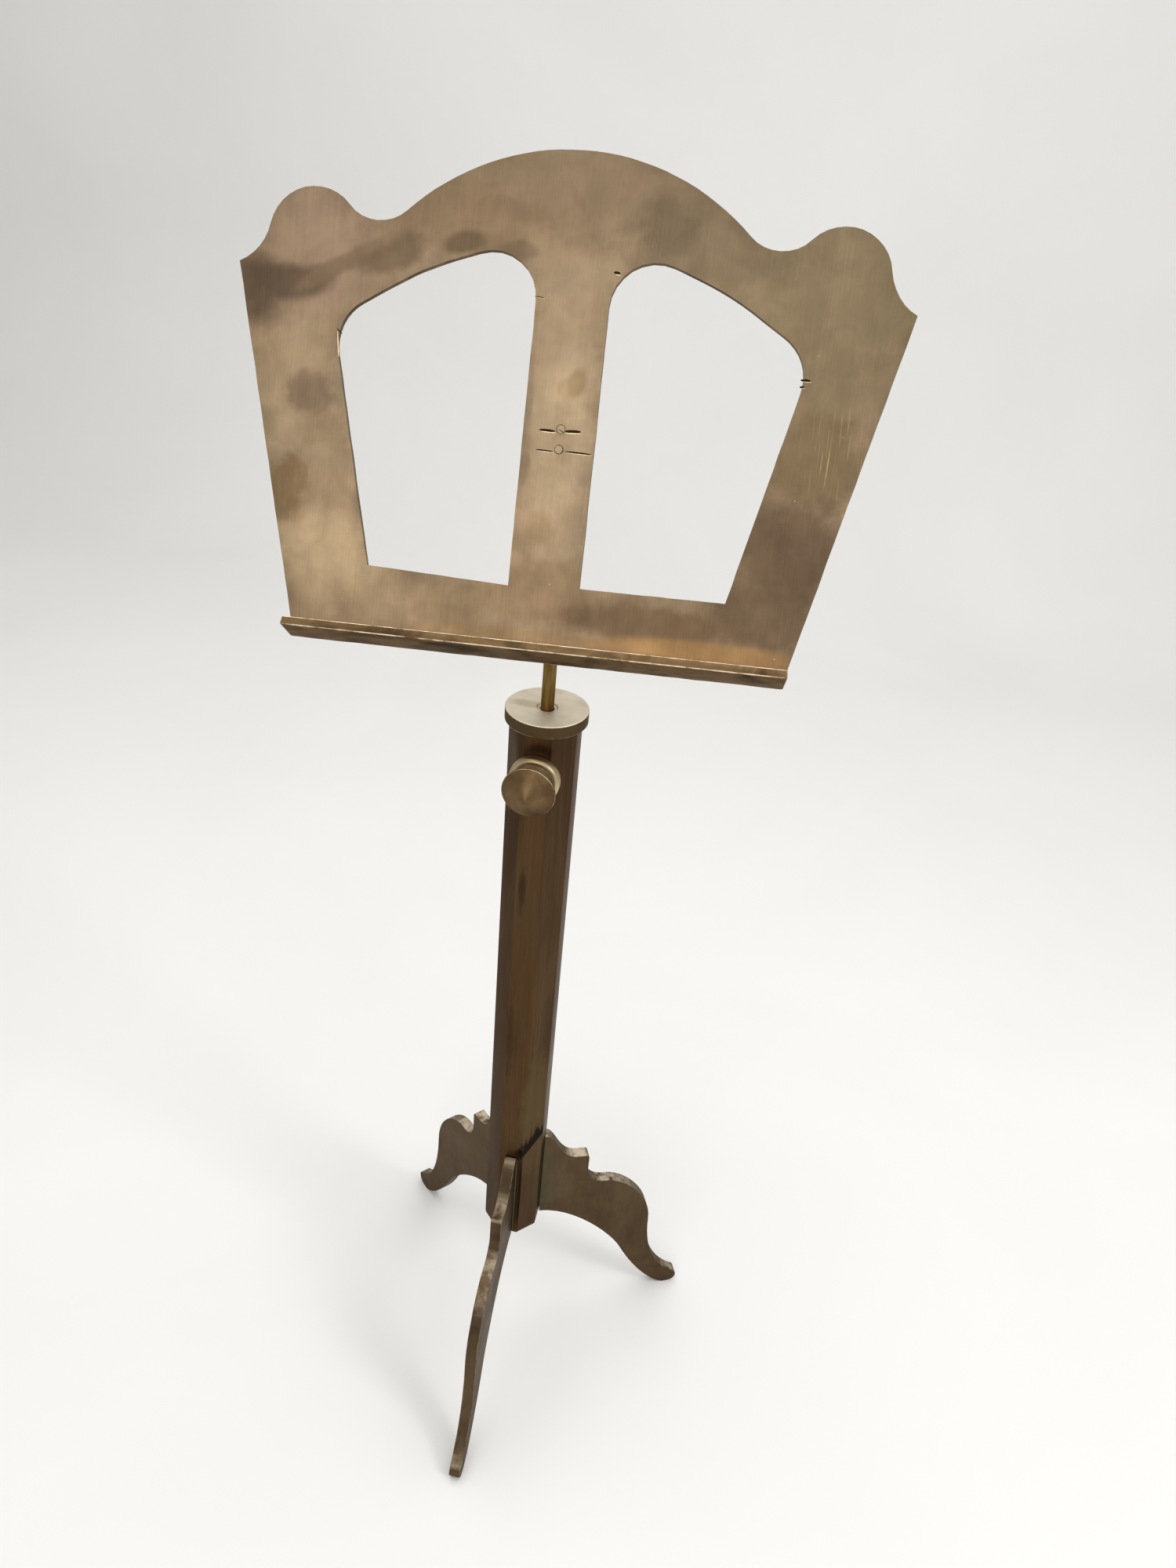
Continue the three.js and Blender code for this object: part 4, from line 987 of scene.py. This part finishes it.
cap()
bush()
turned_copy("rod", "rod_drawn", "turning_rod", ROD_BRASS, 0.3 * MM)
turned_copy("clamp_boss", "clamp_boss_turned", "stand", BOSS_BRASS, 0.6 * MM)
turned_copy("clamp_knob", "clamp_knob_turned", "clamp_grip", CLAMP_BRASS, 0.7 * MM)
turned_copy("tilt_knob", "tilt_knob_turned", "tilt_grip", TILT_BRASS, 0.5 * MM)
turned_copy("desk_bracket", "bracket_filed", "desk", HARDWARE_BRASS, 0.5 * MM)

# %% [markdown]
# ## Solder at the roots of the legs
# Silver solder was run down both sides of each leg. It shows as a thin lumpy bead in the
# corner between leg and column. Each bead is a string of rings laid along the corner, a
# little thicker and thinner as it goes, and closed at both ends.

# %% Solder beads
BEAD_RADIUS = 1.5 * MM
BEAD_RINGS, BEAD_SIDES = 44, 10
BEAD_INSET = 0.5 * MM  # how far the bead's middle stands clear of the leg's side
column_tree = bvhtree.BVHTree.FromObject(column_piece, bpy.context.evaluated_depsgraph_get())


def bead(leg_piece, name, side, material):
    corners = [v.co for v in leg_piece.data.vertices]
    inner = sorted(corners, key=lambda c: (c.xy - COLUMN_AXIS.xy).length)[:8]
    root = sum(inner, Vector()) / len(inner)
    away = Vector((*(root - COLUMN_AXIS).xy, 0)).normalized()
    across = Vector((-away.y, away.x, 0)) * side
    near = [c for c in corners if (c.xy - COLUMN_AXIS.xy).length < COLUMN_HALF + 5 * MM]
    low = min(c.z for c in near) + 3 * MM
    high = max(c.z for c in near) - 1 * MM
    start = COLUMN_AXIS + away * 0.12 + across * (LEG_HALF_THICKNESS + BEAD_INSET)
    bm = bmesh.new()
    rings = []
    for step in range(BEAD_RINGS):
        share = step / (BEAD_RINGS - 1)
        height = low + (high - low) * share
        hit = column_tree.ray_cast(Vector((*start.xy, height)), -away)[0]
        lump = noise.noise(Vector((side * 3, away.x * 5, height * 260)))
        thick = BEAD_RADIUS * (1 + 0.3 * lump) * math.sqrt(max(0.02, 1 - (2 * share - 1) ** 8))
        circle = bmesh.ops.create_circle(bm, cap_ends=False, segments=BEAD_SIDES, radius=thick)
        bmesh.ops.translate(bm, verts=circle["verts"], vec=hit)
        rings.append(circle["verts"])
    for lower, upper in zip(rings, rings[1:]):
        pair = {*lower, *upper}
        loose = [e for e in bm.edges if len(e.link_faces) < 2 and set(e.verts) <= pair]
        bmesh.ops.bridge_loops(bm, edges=loose)
    for ring in (rings[0], rings[-1]):
        bmesh.ops.contextual_create(bm, geom=[e for e in bm.edges if set(e.verts) <= set(ring)])
    bmesh.ops.recalc_face_normals(bm, faces=bm.faces)
    for face in bm.faces:
        face.smooth = True
    return keep(bm, name, "stand", material)


for piece in legs:
    for side, word in ((-1, "a"), (1, "b")):
        metal = LEG_BRASS if piece.name.startswith("leg_front") else SOLDER
        bead(piece, piece.name.replace("filed", "solder_") + word, side, metal)

# %% [markdown]
# ## Marks a maker left on the desk
# Two flush rivets hold the bracket, and someone scribed a line through each before drilling.
# A scriber pushes metal up beside its groove, so every mark is two thin slivers side by side:
# a dark one for the groove and a bright one for the raised lip. Nicks where the saw slipped
# are made the same way.

# %% Scribed lines, lips and nicks
SUNK, PROUD, LIP_PROUD = 0.3, 0.06, 0.09  # millimetres below and above the plate's face


def sliver(name, start, end, width, material, proud=PROUD):
    """A thin lens of metal between two places on the plate, standing a hair above it."""
    first, last = on_plate(*start), on_plate(*end)
    along = last - first
    bm = bmesh.new()
    lens = bmesh.ops.create_circle(bm, cap_ends=True, segments=20, radius=1.0)
    turn = Matrix((along.normalized(), PLATE_OUT.cross(along).normalized(), PLATE_OUT)).transposed()
    size = Matrix.Diagonal((along.length / 2, width * MM / 2, 1.0))
    bmesh.ops.transform(bm, matrix=(turn @ size).to_4x4(), verts=lens["verts"])
    bmesh.ops.translate(bm, verts=lens["verts"], vec=(first + last) / 2 - PLATE_OUT * SUNK * MM)
    body = bmesh.ops.extrude_face_region(bm, geom=bm.faces[:])
    top = [g for g in body["geom"] if isinstance(g, bmesh.types.BMVert)]
    bmesh.ops.translate(bm, verts=top, vec=PLATE_OUT * (SUNK + proud) * MM)
    bmesh.ops.recalc_face_normals(bm, faces=bm.faces)
    return keep(bm, name, "desk", material)


def scribed(name, start, end, width):
    """A groove and, just below it, the bright lip it raised."""
    sliver(name + "_groove", start, end, width * 1.5, SCRIBED)
    drop = width * 0.95
    lip_start, lip_end = (start[0] + 1, start[1] - drop), (end[0] + 0.6, end[1] - drop)
    sliver(name + "_lip", lip_start, lip_end, width * 0.5, BURR, LIP_PROUD)


def scribed_ring(name, centre, radius, width):
    """The fine circle that shows round a rivet filed flush."""
    bm = bmesh.new()
    middle = on_plate(*centre)
    start = middle + PLATE_RIGHT * radius * MM - PLATE_OUT * 0.2 * MM
    across, raised = PLATE_RIGHT * width * MM, PLATE_OUT * 0.25 * MM
    corners = [start, start + across, start + across + raised, start + raised]
    verts = [bm.verts.new(c) for c in corners]
    edges = [bm.edges.new((verts[i], verts[(i + 1) % 4])) for i in range(4)]
    bmesh.ops.spin(bm, geom=verts + edges, cent=middle, axis=PLATE_OUT, angle=math.tau, steps=40,
                   use_merge=True)
    bmesh.ops.remove_doubles(bm, verts=bm.verts, dist=0.001 * MM)
    bmesh.ops.recalc_face_normals(bm, faces=bm.faces)
    for face in bm.faces:
        face.smooth = False
    return keep(bm, name, "desk", SCRIBED)


UPPER_RIVET, LOWER_RIVET, RIVET_RADIUS = (3.2, 176.0), (3.8, 161.0), 3.2
scribed("upper_left", (-13, 174.2), (-0.5, 174.0), 1.3)
scribed("upper_right", (6.5, 174.6), (19, 175.2), 1.5)
scribed("lower_left", (-14, 159.4), (0, 159.0), 0.8)
scribed("lower_right", (8, 159.8), (28.5, 159.4), 0.9)
scribed_ring("upper_rivet_ring", UPPER_RIVET, RIVET_RADIUS, 0.12)
scribed_ring("lower_rivet_ring", LOWER_RIVET, RIVET_RADIUS, 0.18)
sliver("rivet_nick", (1.5, 175.8), (6.2, 173.4), 0.6, SCRIBED)
scribed("right_window_nick", (176.5, 226.5), (184, 226.6), 1.2)
scribed("right_window_nick_low", (176.5, 221.5), (180, 221.8), 1.0)
scribed("right_window_head_nick", (31, 291.5), (36, 291.0), 1.5)
scribed("bar_scratch", (-26, 270), (-19, 269.5), 0.5)
sliver("left_window_burr", (-174.2, 233), (-171.8, 214), 0.9, BURR)
sliver("left_window_nick", (-175, 235), (-170.5, 231), 0.8, SCRIBED)

# %% Materials for the frame's own small parts
SMALL_PARTS = {
    HARDWARE_BRASS: ("guide_block", "clamp_pad", "clamp_screw", "rod_end_washer",
                     "rod_end_screw", "pivot_bolt", "tilt_washer"),
    COLUMN_BRASS: ("base_plug",),
    DESK_BRASS: ("rivet_upper", "rivet_lower"),
    NYLON: ("rod_slider",),
    FIBRE: ("friction_washer_right", "friction_washer_left"),
}
for material, names in SMALL_PARTS.items():
    for name in names:
        nodes[name].data.materials.clear()
        nodes[name].data.materials.append(material)
print("small parts finished:", sum(len(names) for names in SMALL_PARTS.values()))
